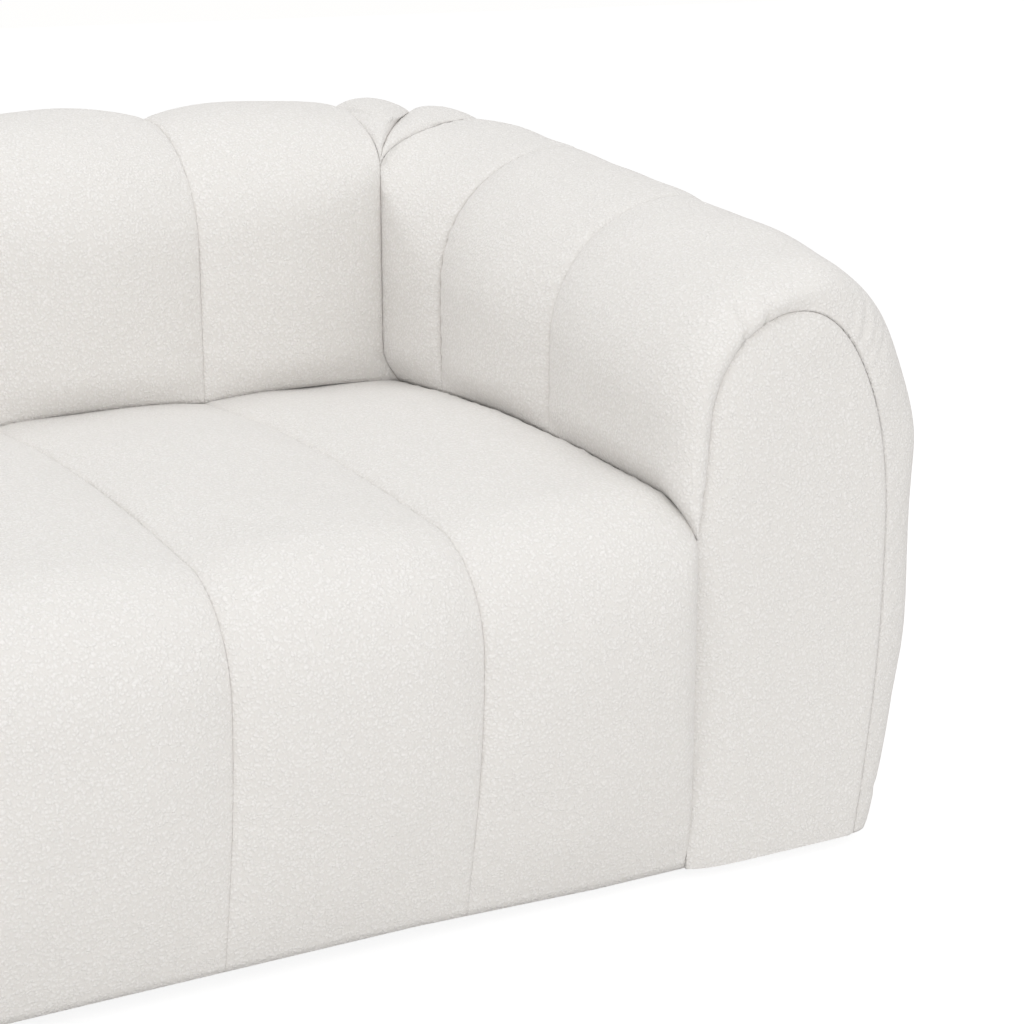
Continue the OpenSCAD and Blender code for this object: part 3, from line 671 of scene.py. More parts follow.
class BoucleLoops(Effect):
    """Height of boucle, crowded yarn loops with loose fibre on them, and its shade: painted shade in the
    dips between the loops, with the fibre's own tone.
    """

    name = "Boucle loops"
    inputs = {"Loop scale": 290.0, "Fibre scale": 1100.0}
    drift_scale = 160.0
    drift = 0.005
    clump_scale = 110.0
    loop_range = (0.1, 0.75)
    height_shares = (0.75, 0.45, 0.4)
    shade_shares = (0.6, 0.4)

    def values(self, shader: Shader, given: dict[str, Socket]) -> dict[str, Socket]:
        """Lays loops that drift out of their rows, fibre over them, and clumps of loops.

        Args:
            shader: The group's nodes.
            given: The group's input sockets by name.

        Returns:
            Height, and the painted shade of the dips between loops mixed with the fibre's tone.
        """
        place = shader.place()
        noise = "ShaderNodeTexNoise"
        drift = shader.node(noise, Vector=place, Scale=self.drift_scale, Detail=2.0).outputs["Color"]
        moved = {"operation": "MULTIPLY_ADD"}
        drifted = shader.node("ShaderNodeVectorMath", moved, drift, (self.drift,) * 3, place)
        spots = {"Vector": drifted.outputs[0], "Scale": given["Loop scale"]}
        cells = shader.node("ShaderNodeTexVoronoi", {"feature": "F1"}, **spots)
        threads = {"Vector": place, "Scale": given["Fibre scale"], "Detail": 3.0, "Roughness": 0.65}
        fibre = shader.node(noise, **threads).outputs[0]
        clumps = shader.node(noise, Vector=place, Scale=self.clump_scale, Detail=3.0).outputs[0]
        loop = shader.span(cells.outputs["Distance"], *self.loop_range, 1.0, 0.0)
        return {
            "Height": shader.total(*zip((loop, fibre, clumps), self.height_shares)),
            # Painted shade: low where the loops dip, mixed with the fibre's tone
            "Shade": shader.total(*zip((loop, fibre), self.shade_shares)),
        }


class PlainWeave(Effect):
    """Height and shade of a plain woven strap or cloth."""

    name = "Plain weave"
    inputs = {"Scale": 600.0}
    mottle_scale = 120.0
    thread_share = 0.7

    def values(self, shader: Shader, given: dict[str, Socket]) -> dict[str, Socket]:
        """Crosses two sets of threads.

        Args:
            shader: The group's nodes.
            given: The group's input sockets by name.

        Returns:
            Height and shade.
        """
        words = {"Vector": shader.place(), "Scale": given["Scale"], "Distortion": 0.6}
        waves = [shader.node("ShaderNodeTexWave", {"bands_direction": axis}, **words) for axis in "XY"]
        woven = shader.maths("MAXIMUM", *(wave.outputs["Fac"] for wave in waves))
        shade = shader.maths("MULTIPLY_ADD", woven, self.thread_share, shader.noise(self.mottle_scale))
        return {"Height": woven, "Shade": shade}


class WoodGrain(Effect):
    """Shade and height of wood grain that runs along x, with fine pores."""

    name = "Wood grain"
    inputs = {"Rings": 60.0, "Pores": 700.0}
    stretch = (0.08, 1.0, 1.0)
    ring_range = (0.35, 0.65)
    pore_share = 0.4
    level = 0.7

    def values(self, shader: Shader, given: dict[str, Socket]) -> dict[str, Socket]:
        """Stretches rings and pores along the grain.

        Args:
            shader: The group's nodes.
            given: The group's input sockets by name.

        Returns:
            Shade and height.
        """
        place = shader.node("ShaderNodeMapping", Vector=shader.place(), Scale=self.stretch).outputs[0]
        noise = "ShaderNodeTexNoise"
        rings = shader.node(noise, Vector=place, Scale=given["Rings"], Detail=4.0, Distortion=1.2).outputs[0]
        pores = shader.node(noise, Vector=place, Scale=given["Pores"], Detail=2.0).outputs[0]
        pits = shader.maths("MULTIPLY", pores, self.pore_share)
        shade = shader.maths("ADD", shader.span(rings, *self.ring_range), pits)
        return {"Shade": shader.maths("MULTIPLY", shade, self.level), "Height": pores}


class HandlingWear(Effect):
    """Mask of rubbed spots and dust, for hard pieces."""

    name = "Handling wear"
    inputs = {"Scale": 35.0, "Amount": 0.5}
    spot_range = (0.5, 0.72)

    def values(self, shader: Shader, given: dict[str, Socket]) -> dict[str, Socket]:
        """Scatters rubbed spots.

        Args:
            shader: The group's nodes.
            given: The group's input sockets by name.

        Returns:
            The mask.
        """
        words = {"Vector": shader.place(), "Scale": given["Scale"], "Detail": 6.0, "Roughness": 0.7}
        spots = shader.span(shader.node("ShaderNodeTexNoise", **words).outputs[0], *self.spot_range)
        return {"Mask": shader.maths("MULTIPLY", spots, given["Amount"])}


@dataclass(frozen=True)
class Finish:
    """What every finish has: its name, its colour and how rough it is."""

    name: str
    colour: Colour
    roughness: float

    def tinted(self, factor: float) -> Colour:
        """The finish's colour, made darker or paler."""
        return tuple(min(1.0, part * factor) for part in self.colour)

    def look(self, shader: Shader) -> dict[str, object]:
        """Adds the finish's own nodes.

        Args:
            shader: The material's nodes.

        Returns:
            Values or sockets for the inputs of the Principled BSDF, by name.
        """
        raise NotImplementedError

    def material(self) -> bpy.types.Material:
        """Finds the finish's material, and makes it at its first use.

        Returns:
            The material.
        """
        made = bpy.data.materials.get(self.name)
        if made is None:
            made = bpy.data.materials.new(self.name)
            made.use_nodes = True
            made.diffuse_color = (*self.colour, 1.0)
            shader = Shader(made.node_tree)
            surface = made.node_tree.nodes["Principled BSDF"]
            surface.inputs["Roughness"].default_value = self.roughness
            for word, value in self.look(shader).items():
                shader.feed(surface.inputs[word], value)
        return made


@dataclass(frozen=True)
class BoucleFinish(Finish):
    """White boucle, with painted shade that makes it a little darker and warmer in the dips between loops
    and along the seams.
    """

    # Painted shade in the dips between loops; also the tone of the faint random patches
    dip: Colour = (0.815, 0.795, 0.77)
    # Painted shade along the seams, where their creases lie in shadow
    seam: Colour = (0.60, 0.55, 0.50)
    dip_range: tuple[float, float] = (0.25, 0.75)
    seam_w: float = 0.006
    seam_shade: float = 0.08
    patch_scale: float = 7.0
    patch_range: tuple[float, float] = (0.3, 0.7)
    patch_shade: float = 0.10
    loop_depth: float = 0.0009

    def look(self, shader: Shader) -> dict[str, object]:
        """Adds loops, painted shade in the dips, faint patches, painted shade along the seams and sheen.

        Args:
            shader: The material's nodes.

        Returns:
            Values or sockets for the inputs of the Principled BSDF, by name.
        """
        loops = BoucleLoops().placed(shader)
        # Painted shade: the dips between loops take the darker dip colour
        colour = shader.blend(shader.span(loops["Shade"], *self.dip_range), self.dip, self.colour)
        patches = shader.noise(self.patch_scale, 3.0)
        patches = shader.span(patches, *self.patch_range, 0.0, self.patch_shade)
        colour = shader.blend(patches, colour, self.dip)
        # Painted shade: the colour darkens within seam_w of a seam, where its crease lies in shadow
        distance = shader.node("ShaderNodeAttribute", {"attribute_name": "seam"}).outputs["Fac"]
        edge = shader.span(distance, 0.0, self.seam_w, self.seam_shade, 0.0)
        return {
            "Base Color": shader.blend(edge, colour, self.seam),
            "Sheen Weight": 0.25,
            "Sheen Roughness": 0.6,
            "Specular IOR Level": 0.2,
            "Normal": shader.bump(loops["Height"], self.loop_depth),
        }


@dataclass(frozen=True)
class FoamFinish(Finish):
    """Cut polyurethane foam with open pores, or needled felt."""

    pore_scale: float = 450.0
    depth: float = 0.0008
    pore_range: tuple[float, float] = (0.35, 0.65)
    mottle_scale: float = 12.0
    mottle_range: tuple[float, float] = (0.2, 0.8)
    mottle_low: float = 0.7
    dark: float = 0.72

    def look(self, shader: Shader) -> dict[str, object]:
        """Adds pores and a mottled tone.

        Args:
            shader: The material's nodes.

        Returns:
            Values or sockets for the inputs of the Principled BSDF, by name.
        """
        pores = shader.noise(self.pore_scale, 3.0, 0.7)
        mottle = shader.span(shader.noise(self.mottle_scale), *self.mottle_range, self.mottle_low, 1.0)
        tone = shader.maths("MULTIPLY", shader.span(pores, *self.pore_range), mottle)
        return {
            "Base Color": shader.blend(tone, self.tinted(self.dark), self.colour),
            "Specular IOR Level": 0.2,
            "Normal": shader.bump(pores, self.depth),
        }


@dataclass(frozen=True)
class WoodFinish(Finish):
    """Planed or sawn wood, or pressed board where the grain is short."""

    rings: float = 60.0
    pores: float = 700.0
    depth: float = 0.0004
    dark: float = 0.68
    pale: float = 1.15

    def look(self, shader: Shader) -> dict[str, object]:
        """Adds grain, rubbed spots and pores.

        Args:
            shader: The material's nodes.

        Returns:
            Values or sockets for the inputs of the Principled BSDF, by name.
        """
        grain = WoodGrain().placed(shader, Rings=self.rings, Pores=self.pores)
        wear = HandlingWear().placed(shader, Scale=20.0, Amount=0.35)["Mask"]
        colour = shader.blend(grain["Shade"], self.colour, self.tinted(self.dark))
        return {
            "Base Color": shader.blend(wear, colour, self.tinted(self.pale)),
            "Normal": shader.bump(grain["Height"], self.depth),
        }


@dataclass(frozen=True)
class WornFinish(Finish):
    """A hard, even finish with rubbed spots: moulded plastic with scuffs, if nothing else is given."""

    metallic: float = 0.0
    spot_scale: float = 60.0
    spot_amount: float = 0.6
    spot_tint: float = 1.9
    spot_roughness: float = 0.2
    mark_scale: float = 900.0
    mark_depth: float = 0.0002

    def look(self, shader: Shader) -> dict[str, object]:
        """Adds the spots and the fine marks of drawing or moulding.

        Args:
            shader: The material's nodes.

        Returns:
            Values or sockets for the inputs of the Principled BSDF, by name.
        """
        spots = HandlingWear().placed(shader, Scale=self.spot_scale, Amount=self.spot_amount)["Mask"]
        return {
            "Metallic": self.metallic,
            "Base Color": shader.blend(spots, self.colour, self.tinted(self.spot_tint)),
            "Roughness": shader.maths("MULTIPLY_ADD", spots, self.spot_roughness, self.roughness),
            "Normal": shader.bump(shader.noise(self.mark_scale), self.mark_depth),
        }


@dataclass(frozen=True)
class SteelFinish(WornFinish):
    """Drawn or plated steel with dull spots."""

    metallic: float = 1.0
    spot_scale: float = 80.0
    spot_amount: float = 0.7
    spot_tint: float = 0.6
    spot_roughness: float = 0.25
    mark_scale: float = 1500.0
    mark_depth: float = 0.00005


@dataclass(frozen=True)
class WovenFinish(Finish):
    """Elastic webbing or spun lining."""

    scale: float = 600.0
    depth: float = 0.0003
    pale: float = 1.8

    def look(self, shader: Shader) -> dict[str, object]:
        """Adds the weave.

        Args:
            shader: The material's nodes.

        Returns:
            Values or sockets for the inputs of the Principled BSDF, by name.
        """
        weave = PlainWeave().placed(shader, Scale=self.scale)
        return {
            "Base Color": shader.blend(weave["Shade"], self.colour, self.tinted(self.pale)),
            "Normal": shader.bump(weave["Height"], self.depth),
        }


FINISHES: dict[str, Finish] = {
    "boucle": BoucleFinish("White boucle", (0.90, 0.882, 0.866), 0.92),
    "foam": FoamFinish("Cut foam", (0.85, 0.79, 0.60), 0.95),
    "felt": FoamFinish("Needled felt", (0.33, 0.33, 0.34), 0.98, 900.0, 0.0006),
    "spring_steel": SteelFinish("Drawn spring steel", (0.42, 0.43, 0.45), 0.38),
    "zinc_steel": SteelFinish("Zinc plated steel", (0.66, 0.67, 0.69), 0.32),
    "hardwood": WoodFinish("Planed hardwood", (0.72, 0.56, 0.38), 0.62),
    "plywood": WoodFinish("Sawn plywood", (0.78, 0.64, 0.46), 0.7, 95.0, 900.0),
    "board": WoodFinish("Pressed board", (0.50, 0.38, 0.27), 0.75, 240.0, 1300.0),
    "webbing": WovenFinish("Elastic webbing", (0.08, 0.08, 0.09), 0.85, 420.0),
    "lining": WovenFinish("Spun lining", (0.10, 0.10, 0.11), 0.9, 900.0),
    "foot_plastic": WornFinish("Moulded foot plastic", (0.05, 0.05, 0.05), 0.55),
}


# Making pieces and putting them in the place of CAD nodes


def smooth_mesh(name: str, points: np.ndarray, faces: Iterable[Sequence[int]]) -> bpy.types.Object:
    """Makes a smooth mesh whose faces all look outwards.

    Args:
        name: Name of the object.
        points: Its points, one a row.
        faces: Its faces as numbers of points.

    Returns:
        The new object.
    """
    mesh = bpy.data.meshes.new(name)
    mesh.from_pydata(points.tolist(), [], list(faces))
    tidy = bmesh.new()
    tidy.from_mesh(mesh)
    bmesh.ops.recalc_face_normals(tidy, faces=tidy.faces)
    tidy.to_mesh(mesh)
    tidy.free()
    mesh.polygons.foreach_set("use_smooth", [True] * len(mesh.polygons))
    piece = bpy.data.objects.new(name, mesh)
    bpy.context.scene.collection.objects.link(piece)
    return piece


def mark_seams(piece: bpy.types.Object, distances: np.ndarray) -> None:
    """Keeps each point's distance from the nearest seam, for the boucle's painted shade along the seams."""
    marks = piece.data.attributes.new("seam", "FLOAT", "POINT")
    marks.data.foreach_set("value", distances.astype(np.float32))


def declare(piece: bpy.types.Object, node: str, slot: str, fill: float) -> None:
    """Args:
        piece: The piece.
        node: The CAD node that it stands for.
        slot: The record's slot of its finish.
        fill: How much of its form its padding fills. Not used.
    """
    piece.data.materials.append(FINISHES[slot].material())
    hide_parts(node)
    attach(piece, "root")
    log.info("%s: %d faces", piece.name, len(piece.data.polygons))


# Upholstery


@dataclass
class CoverSkin:
    """A padded cover as a closed shell: a fine outer grid, a coarse lining and the edges between them.

    Both grids run across the channel in rows and along it in columns.
    """

    name: str
    node: str
    outer: np.ndarray
    lining: np.ndarray
    seed: int
    relief: float = 0.0008
    fill: float = 0.75
    lump_count: int = 14
    lump_l: tuple[float, float] = (0.07, 0.22)
    lump_level: float = 2.6
    pull_count: int = 5
    pull_l: tuple[float, float] = (0.022, 0.05)
    pull_depth: float = 0.0005
    pull_reach: float = 0.016
    seam_hold: float = 0.006
    end_hold: float = 0.008

    def seam_distance(self) -> np.ndarray:
        """Distance of each outer point from the nearer of its channel's seams, along the cover."""
        run = run_along(self.outer)
        return np.minimum(run, run[-1] - run)

    def ruffle(self) -> None:
        """Gives the cover the slight lumps of its filling and the pull of its stitches."""
        seam = self.seam_distance()
        along = run_along(self.outer, 1)
        end = np.minimum(along, along[:, -1:] - along)
        dice = np.random.default_rng(self.seed)
        lumps = np.zeros(seam.shape)
        for _ in range(self.lump_count):
            heading = dice.normal(size=3)
            heading *= 2 * np.pi / dice.uniform(*self.lump_l) / np.linalg.norm(heading)
            lumps += np.sin(self.outer @ heading + dice.uniform(0, 2 * np.pi))
        lumps *= self.relief / self.lump_level
        pulls = np.zeros(seam.shape)
        for _ in range(self.pull_count):
            pulls += np.sin(2 * np.pi * along / dice.uniform(*self.pull_l) + dice.uniform(0, 2 * np.pi))
        pulls *= self.pull_depth * np.exp(-seam / self.pull_reach)
        hold = (1 - np.exp(-seam / self.seam_hold)) * (1 - np.exp(-end / self.end_hold))
        self.outer = self.outer + normals(self.outer, self.lining) * ((lumps + pulls) * hold)[..., None]

    def faces(self) -> list[Sequence[int]]:
        """Sews the outer grid and the lining together.

        Returns:
            Faces of the closed shell, from the numbers of its points, the outer ones first.
        """
        points = self.outer[..., 0].size
        out = np.arange(points).reshape(self.outer.shape[:2])
        inn = points + np.arange(self.lining[..., 0].size).reshape(self.lining.shape[:2])
        made = quads(out).tolist() + turned_over(quads(inn)).tolist()
        for rim, hem in (
            (out[0], inn[0]),
            (out[:, -1], inn[:, -1]),
            (out[-1, ::-1], inn[-1, ::-1]),
            (out[::-1, 0], inn[::-1, 0]),
        ):
            rim, hem = rim.tolist(), hem.tolist()
            for k, (p, q) in enumerate(zip(hem, hem[1:])):
                a, b, c, d, e = rim[FINE * k : FINE * (k + 1) + 1]
                made += [(a, b, p), (b, c, p), (c, q, p), (c, d, q), (d, e, q)]
        return made

    def build(self) -> None:
        """Makes the cover."""
        self.ruffle()
        points = np.concatenate([self.outer.reshape(-1, 3), self.lining.reshape(-1, 3)])
        piece = smooth_mesh(self.name, points, self.faces())
        mark_seams(piece, np.append(self.seam_distance(), np.full(self.lining[..., 0].size, FAR)))
        declare(piece, self.node, "boucle", self.fill)


@dataclass
class ChannelRow:
    """A straight row of channels between the arms, whose left half mirrors its right half."""

    form: SofaForm
    word: str
    seed: int
    cols: int
    rows: int = 41

    def lines(self, i: int, share: float) -> Grids:
        """Lines of a channel of the right half.

        Args:
            i: Number of the channel, from the left.
            share: Share of its width, from its right edge.

        Returns:
            The outer line and the lining's line.
        """
        raise NotImplementedError

    def build(self) -> None:
        """Makes the row's covers."""
        count = self.form.channels
        for i in range(1, count + 1):
            right = max(i, count + 1 - i)
            grids = lofted(lambda share: self.lines(right, share), self.rows)
            outer, lining = (self.form.placed(grid) for grid in grids)
            if i != right:
                outer, lining = mirrored(outer), mirrored(lining)
            names = f"{self.word}_cover_{i}", f"{self.word}_channel_{i}"
            CoverSkin(*names, outer, lining, self.seed + i).build()


@dataclass
class Seat(ChannelRow):
    """The seat's six channels, each from the lower front edge over the nose to the back."""

    word: str = "seat"
    seed: int = 10
    cols: int = 121
    panel_reach: float = 0.012
    meet_w: float = 0.080
    meet_reach: float = 0.080

    def lines(self, i: int, share: float) -> Grids:
        """Lines of a channel of the right half, which stays behind the arm's panel where it meets it.

        Args:
            i: Number of the channel, from the left.
            share: Share of its width, from its right edge.

        Returns:
            The outer line and the lining's line.
        """
        form = self.form
        x = form.channel_x(i, share)
        limit = form.no_limit
        if i == form.channels:
            inside = min(1.0, (form.half_w - x) / self.meet_w)
            limit = self.panel_reach + self.meet_reach * math.sin(math.pi / 2 * inside)
        outer = evenly(form.seat_section(form.crown * swell(share), limit), self.cols)
        under = evenly(form.seat_lining(), coarse(self.cols))
        return curve(x, *outer.T), curve(x, *under.T)


@dataclass
class Back(ChannelRow):
    """The back's six channels, each from the seat over the crest and down the rear."""

    word: str = "back"
    seed: int = 20
    cols: int = 153
    corner_reach: float = 0.022
    mitre: float = 0.75

    def lines(self, i: int, share: float) -> Grids:
        """Lines of a channel of the right half, which tightens and bends towards the corner.

        Args:
            i: Number of the channel, from the left.
            share: Share of its width, from its right edge.

        Returns:
            The outer line and the lining's line.
        """
        form = self.form
        x = form.channel_x(i, share)
        off = form.half_w - x
        inner = rise = form.crown * swell(share)
        drop = form.back_drop
        reach = 0.0
        if i == form.channels:
            drop = form.corner_drop(form.back_h, drop, off / form.channel_w)
            inner = min(rise, self.mitre * off)
            reach = self.corner_reach * (1 - off / form.channel_w) ** 2
        seat_z = form.seat_seam(form.seat_depth) + rise * form.seat_crown(form.seat_depth) + form.gap
        line = form.cover_section((inner, form.crest_crown * swell(share), rise), form.back_h, drop, seat_z)
        shift = reach * form.inward(line, seat_z, drop, form.back_h)
        outer = evenly(curve(x - shift, form.seat_depth + line[:, 0], line[:, 1]), self.cols)
        under = evenly(form.lining_section(form.back_h, form.back_drop, seat_z), coarse(self.cols))
        return outer, curve(x, form.seat_depth + under[:, 0], under[:, 1])


@dataclass(frozen=True)
class Crease:
    """A short crease of the rolled border.

    Its place is a share of the panel's seam, and its depth, its width and its reach are in metres.
    """

    place: float
    width: float
    depth: float
    reach: float


@dataclass
class Arm:
    """One arm: its three channels, the two wedges of its corner and its arched front panel."""

    form: SofaForm
    side: Side
    rows: int = 41
    cols: int = 153
    seed: int = 30
    wedge_seed: int = 40
    left_seed: int = 50
    wedge_relief: float = 0.0006
    corner_reach: float = 0.022
    fan: tuple[float, float, float] = (0.0, 32.0, 60.0)
    fan_gap: float = 0.1
    hub: float = 0.001
    middle_outer: float = 0.65
    seam_crown: float = 0.5
    lining_share: float = 0.8

    front_cols: int = 305
    front_rows: int = 36
    front_outer: float = 0.82
    flat_end: float = 0.090
    roll_rows: int = 28
    roll_r: float = 0.055
    roll_reach: float = 0.012
    roll_turn: float = 122.0
    roll_fuller: float = 0.018
    roll_rear: float = 0.0226
    over_less: float = 22.0
    over_from: float = 0.10
    over_w: float = 0.06
    down_less: float = 16.0
    down_from: float = 0.50
    down_h: float = 0.10
    crease_start: float = 0.003
    crease_power: float = 0.7
    crease_ridge: float = 2.5
    creases: tuple[Crease, ...] = (
        Crease(0.229, 0.0038, 0.0052, 0.052),
        Crease(0.262, 0.0038, 0.0052, 0.056),
        Crease(0.383, 0.0060, 0.0014, 0.055),
        Crease(0.403, 0.0050, 0.0024, 0.075),
        Crease(0.424, 0.0060, 0.0016, 0.065),
        Crease(0.441, 0.0050, 0.0018, 0.075),
        Crease(0.957, 0.0050, 0.0022, 0.045),
    )

    panel_in: float = 0.018
    panel_low: float = 0.0117
    panel_low_power: float = 0.6
    panel_top: float = 0.044
    panel_out: float = 0.034
    panel_crest: float = 0.120
    panel_drop: float = 0.112
    panel_outer_drop: float = 0.230
    panel_face: float = 0.0148
    panel_rear: float = 0.022
    panel_side: float = 0.0006
    panel_fill: float = 0.6
    panel_slopes: tuple[float, float] = (0.018, 0.0035)
    spine_x: tuple[float, float] = (0.105, 0.125)
    spine_z: tuple[float, float] = (0.02, 0.45)
    ring_power: float = 2.2
    ring_reach: float = 0.98
    panel_points: tuple[int, int, int] = (161, 24, 19)

    def handed(self, grid: np.ndarray) -> np.ndarray:
        """A right-hand piece's grid, in the sofa's frame and on this arm's own side."""
        placed = self.form.placed(grid)
        return mirrored(placed) if self.side is Side.LEFT else placed

    def at(self, line: np.ndarray, y: float | np.ndarray) -> np.ndarray:
        """A section of the arm at the depth y."""
        return curve(self.form.half_w + line[:, 0], y, line[:, 1])

    def over(self, distance: np.ndarray) -> np.ndarray:
        """Share of the way from the seat's side of the panel over its arch, at a distance from the seat."""
        return (distance - self.over_from) / self.over_w

    def pocket(self, inset: float = 0.0) -> np.ndarray:
        """Outline of the arched seam between the rolled border and the panel.

        Args:
            inset: How far the outline is drawn inwards.

        Returns:
            Points as distance and height, with as many points as a cover's section.
        """
        form = self.form
        seat_z = form.seat_seam(-self.roll_reach) + form.gap
        share = np.linspace(0, 1, form.tuck_points)[:-1]
        tuck = curve((self.panel_low + inset) * share**self.panel_low_power, seat_z + form.tuck_rise * share)
        arch = form.rounding(
            self.panel_in + inset,
            self.panel_crest,
            form.wall - self.panel_out - inset,
            form.arm_front_h - self.panel_top - inset,
            (self.panel_drop - inset, self.panel_outer_drop - inset),
        )
        return np.concatenate([tuck, arch, form.outer_side(-self.panel_out - inset)])

    def section(self, share: float, y: float, outer_share: float) -> np.ndarray:
        """Section of one of the arm's two front channels.

        Args:
            share: Share of its full crown.
            y: Depth.
            outer_share: Share of that crown on the outer side.

        Returns:
            Points as distance and height.
        """
        form = self.form
        rise = form.crown * share
        top = form.arm_crest_crown * (self.seam_crown + (1 - self.seam_crown) * share)
        swells = (rise, top, rise * outer_share)
        seat_z = form.seat_seam(y) + form.gap
        return form.cover_section(swells, form.arm_h(y), form.arm_drop, seat_z, form.front_share(y))

    def lining_at(self, y: float, cols: int) -> np.ndarray:
        """Lining of one of the arm's two front channels.

        Args:
            y: Depth.
            cols: Number of points of the outer line above it.

        Returns:
            The lining's line there.
        """
        form = self.form
        under = form.lining_section(form.arm_h(y), form.arm_drop, form.seat_seam(y) + form.gap)
        return self.at(evenly(under, coarse(cols)), y)

    def turns(self, rim: np.ndarray) -> np.ndarray:
        """How far the border rolls round, in degrees, at each point of the panel's outline.

        Args:
            rim: Points of the outline, as distance and height.

        Returns:
            The full turn on the seat's side, less over the arch, and least down the outer side.
        """
        down = gentle((self.down_from - rim[:, 1]) / self.down_h) * (rim[:, 0] > self.panel_crest)
        return self.roll_turn - self.over_less * gentle(self.over(rim[:, 0])) - self.down_less * down

    def front_channel(self) -> Grids:
        """Draws the front channel, from the panel's seam round the rolled border to its rear seam.

        Returns:
            Its outer grid and its lining.
        """
        form = self.form
        rim = self.pocket()
        most = self.turns(rim)
        fuller = 1 + self.roll_fuller * (self.roll_turn - most)
        start = self.roll_r - self.roll_reach
        end = form.arm_front_l - form.gap / 2
        outer = []
        for part in np.linspace(1, 0, self.roll_rows + 1):
            turn = np.radians(most * part)
            share = ((1 - np.cos(turn)) / (1 - np.cos(np.radians(most)))) ** fuller
            y = start - self.roll_r * np.sin(turn)
            full = self.section(1.0, float(y[0]), self.front_outer)
            outer.append(evenly(self.at(full + (rim - full) * share[:, None], y), self.front_cols))
        for step in np.sin(quarter(self.front_rows + 1))[1:]:
            y = start + (end - start) * step
            past = max(0.0, (y - self.flat_end) / (end - self.flat_end))
            full = self.section(swell((1 + past) / 2), y, self.front_outer)
            outer.append(evenly(self.at(full, y), self.front_cols))
        depths = np.linspace(self.roll_rear, end, coarse(len(outer)))
        lining = np.array([self.lining_at(y, self.front_cols) for y in depths])
        return self.gathered(np.array(outer), lining), lining

    def gathered(self, grid: np.ndarray, lining: np.ndarray) -> np.ndarray:
        """Adds the short creases of the rolled border where it is drawn in round the panel's arch.

        Args:
            grid: Outer grid of the front channel.
            lining: Its lining.

        Returns:
            The grid with creases.
        """
        run = run_along(grid)
        along = run_along(grid[0])
        offset = np.zeros(run.shape)
        for crease in self.creases:
            away = (along - crease.place * along[-1]) / crease.width
            fade = np.clip(1 - run / crease.reach, 0, 1) ** self.crease_power
            fade = np.clip(run / self.crease_start, 0, 1) * fade
            offset -= crease.depth * (1 - away**2 / self.crease_ridge) * np.exp(-(away**2) / 2) * fade
        return grid + normals(grid, lining) * offset[..., None]

    def middle_lines(self, share: float) -> Grids:
        """Lines of the middle channel.

        Args:
            share: Share of its width, from its front seam.

        Returns:
            The outer line and the lining's line.
        """
        form = self.form
        y = form.arm_front_l + form.gap / 2 + (form.arm_mid_l - form.gap) * share
        line = self.section(swell(share), y, self.middle_outer)
        return evenly(self.at(line, y), self.cols), self.lining_at(y, self.cols)

    def turned(self, line: np.ndarray, share: float, angle: float) -> np.ndarray:
        """Places a section at a share of the path that runs to the corner and then round it.

        Args:
            line: The section, as distance and height.
            share: Share of the path, from the middle channel's seam on.
            angle: Angle that the path turns by at its end, in degrees.

        Returns:
            Its points, drawn from the seat's lower front edge.
        """
        form = self.form
        run = form.seat_depth - form.arm_mid_end - form.gap * 1.5
        reach = np.maximum(line[:, 0], 0)
        past = share * (run + reach * math.radians(angle)) - run
        turn = np.where((past > 0) & (reach > 0), past / np.maximum(reach, 1e-6), 0)
        x = form.half_w + line[:, 0] * np.cos(turn)
        y = form.seat_depth - form.gap + np.minimum(past, 0) + line[:, 0] * np.sin(turn)
        return curve(x, y, line[:, 1])

    def rear_lines(self, share: float) -> Grids:
        """Lines of the rear channel, which turns into the corner.

        Args:
            share: Share of its width, from its front seam.

        Returns:
            The outer line and the lining's line.
        """
        form = self.form
        angle = 90 - self.fan[2] - self.fan_gap
        length = form.seat_depth - form.arm_mid_end
        y = form.arm_mid_end + length * share
        top = form.arm_h(y) + (form.back_h - form.arm_rear_h) * angle / 90 * share**2
        drop = form.corner_drop(top, form.arm_drop, (form.seat_depth - y) / length)
        seat_z = form.seat_seam(y) + form.gap
        rise = swell(share)
        crest = form.arm_crest_crown * (rise + (1 - rise) * self.seam_crown * (1 - share))
        line = form.cover_section((0.0, crest, form.crown * rise), top, drop, seat_z)
        reach = self.corner_reach * math.sqrt(max(0.0, 1 - (1 - share) ** 2))
        shift = curve(reach * form.inward(line, seat_z, drop, top), 0.0, 0.0)
        outer = self.turned(line, share, angle) - shift
        seams = form.cover_section((0.0, 0.0, 0.0), top, drop, seat_z)
        under = form.under(seams, min(form.pad, self.lining_share * drop**2 / form.crest))
        lining = self.turned(under, share, angle) - shift
        return evenly(outer, self.cols), evenly(lining, coarse(self.cols), outer)

    def wedge_lines(self, i: int, share: float) -> Grids:
        """Lines of one of the two wedges that fan out round the corner.

        Args:
            i: 1 for the wedge at the arm, 2 for the one at the back.
            share: Share of its width, from the back's side.

        Returns:
            The outer line and the lining's line.
        """
        form = self.form
        start, stop = self.fan[3 - i] - self.fan_gap, self.fan[2 - i] + self.fan_gap
        angle = start + (stop - start) * share
        sin, cos = math.sin(math.radians(angle)), math.cos(math.radians(angle))
        h = form.back_h + (form.arm_rear_h - form.back_h) * angle / 90
        drop = h - form.fan_h
        top = (form.crest_crown + (form.arm_crest_crown - form.crest_crown) * angle / 90) * swell(share)
        rise = form.crown * swell(share)
        arch = form.arch((0.0, top, rise), h, drop)
        arch[:, 0] = np.maximum(arch[:, 0], self.hub)
        line = np.concatenate([arch, form.outer_side(rise)])
        shift = self.corner_reach * form.inward(line, form.fan_h - form.tuck_rise, drop, h)
        outer = curve(form.half_w + line[:, 0] * sin - shift, form.seat_depth + line[:, 0] * cos, line[:, 1])
        under = evenly(form.lining_section(h, drop, None), coarse(self.cols))
        lining = curve(form.half_w + under[:, 0] * sin, form.seat_depth + under[:, 0] * cos, under[:, 1])
        return evenly(outer, self.cols), lining

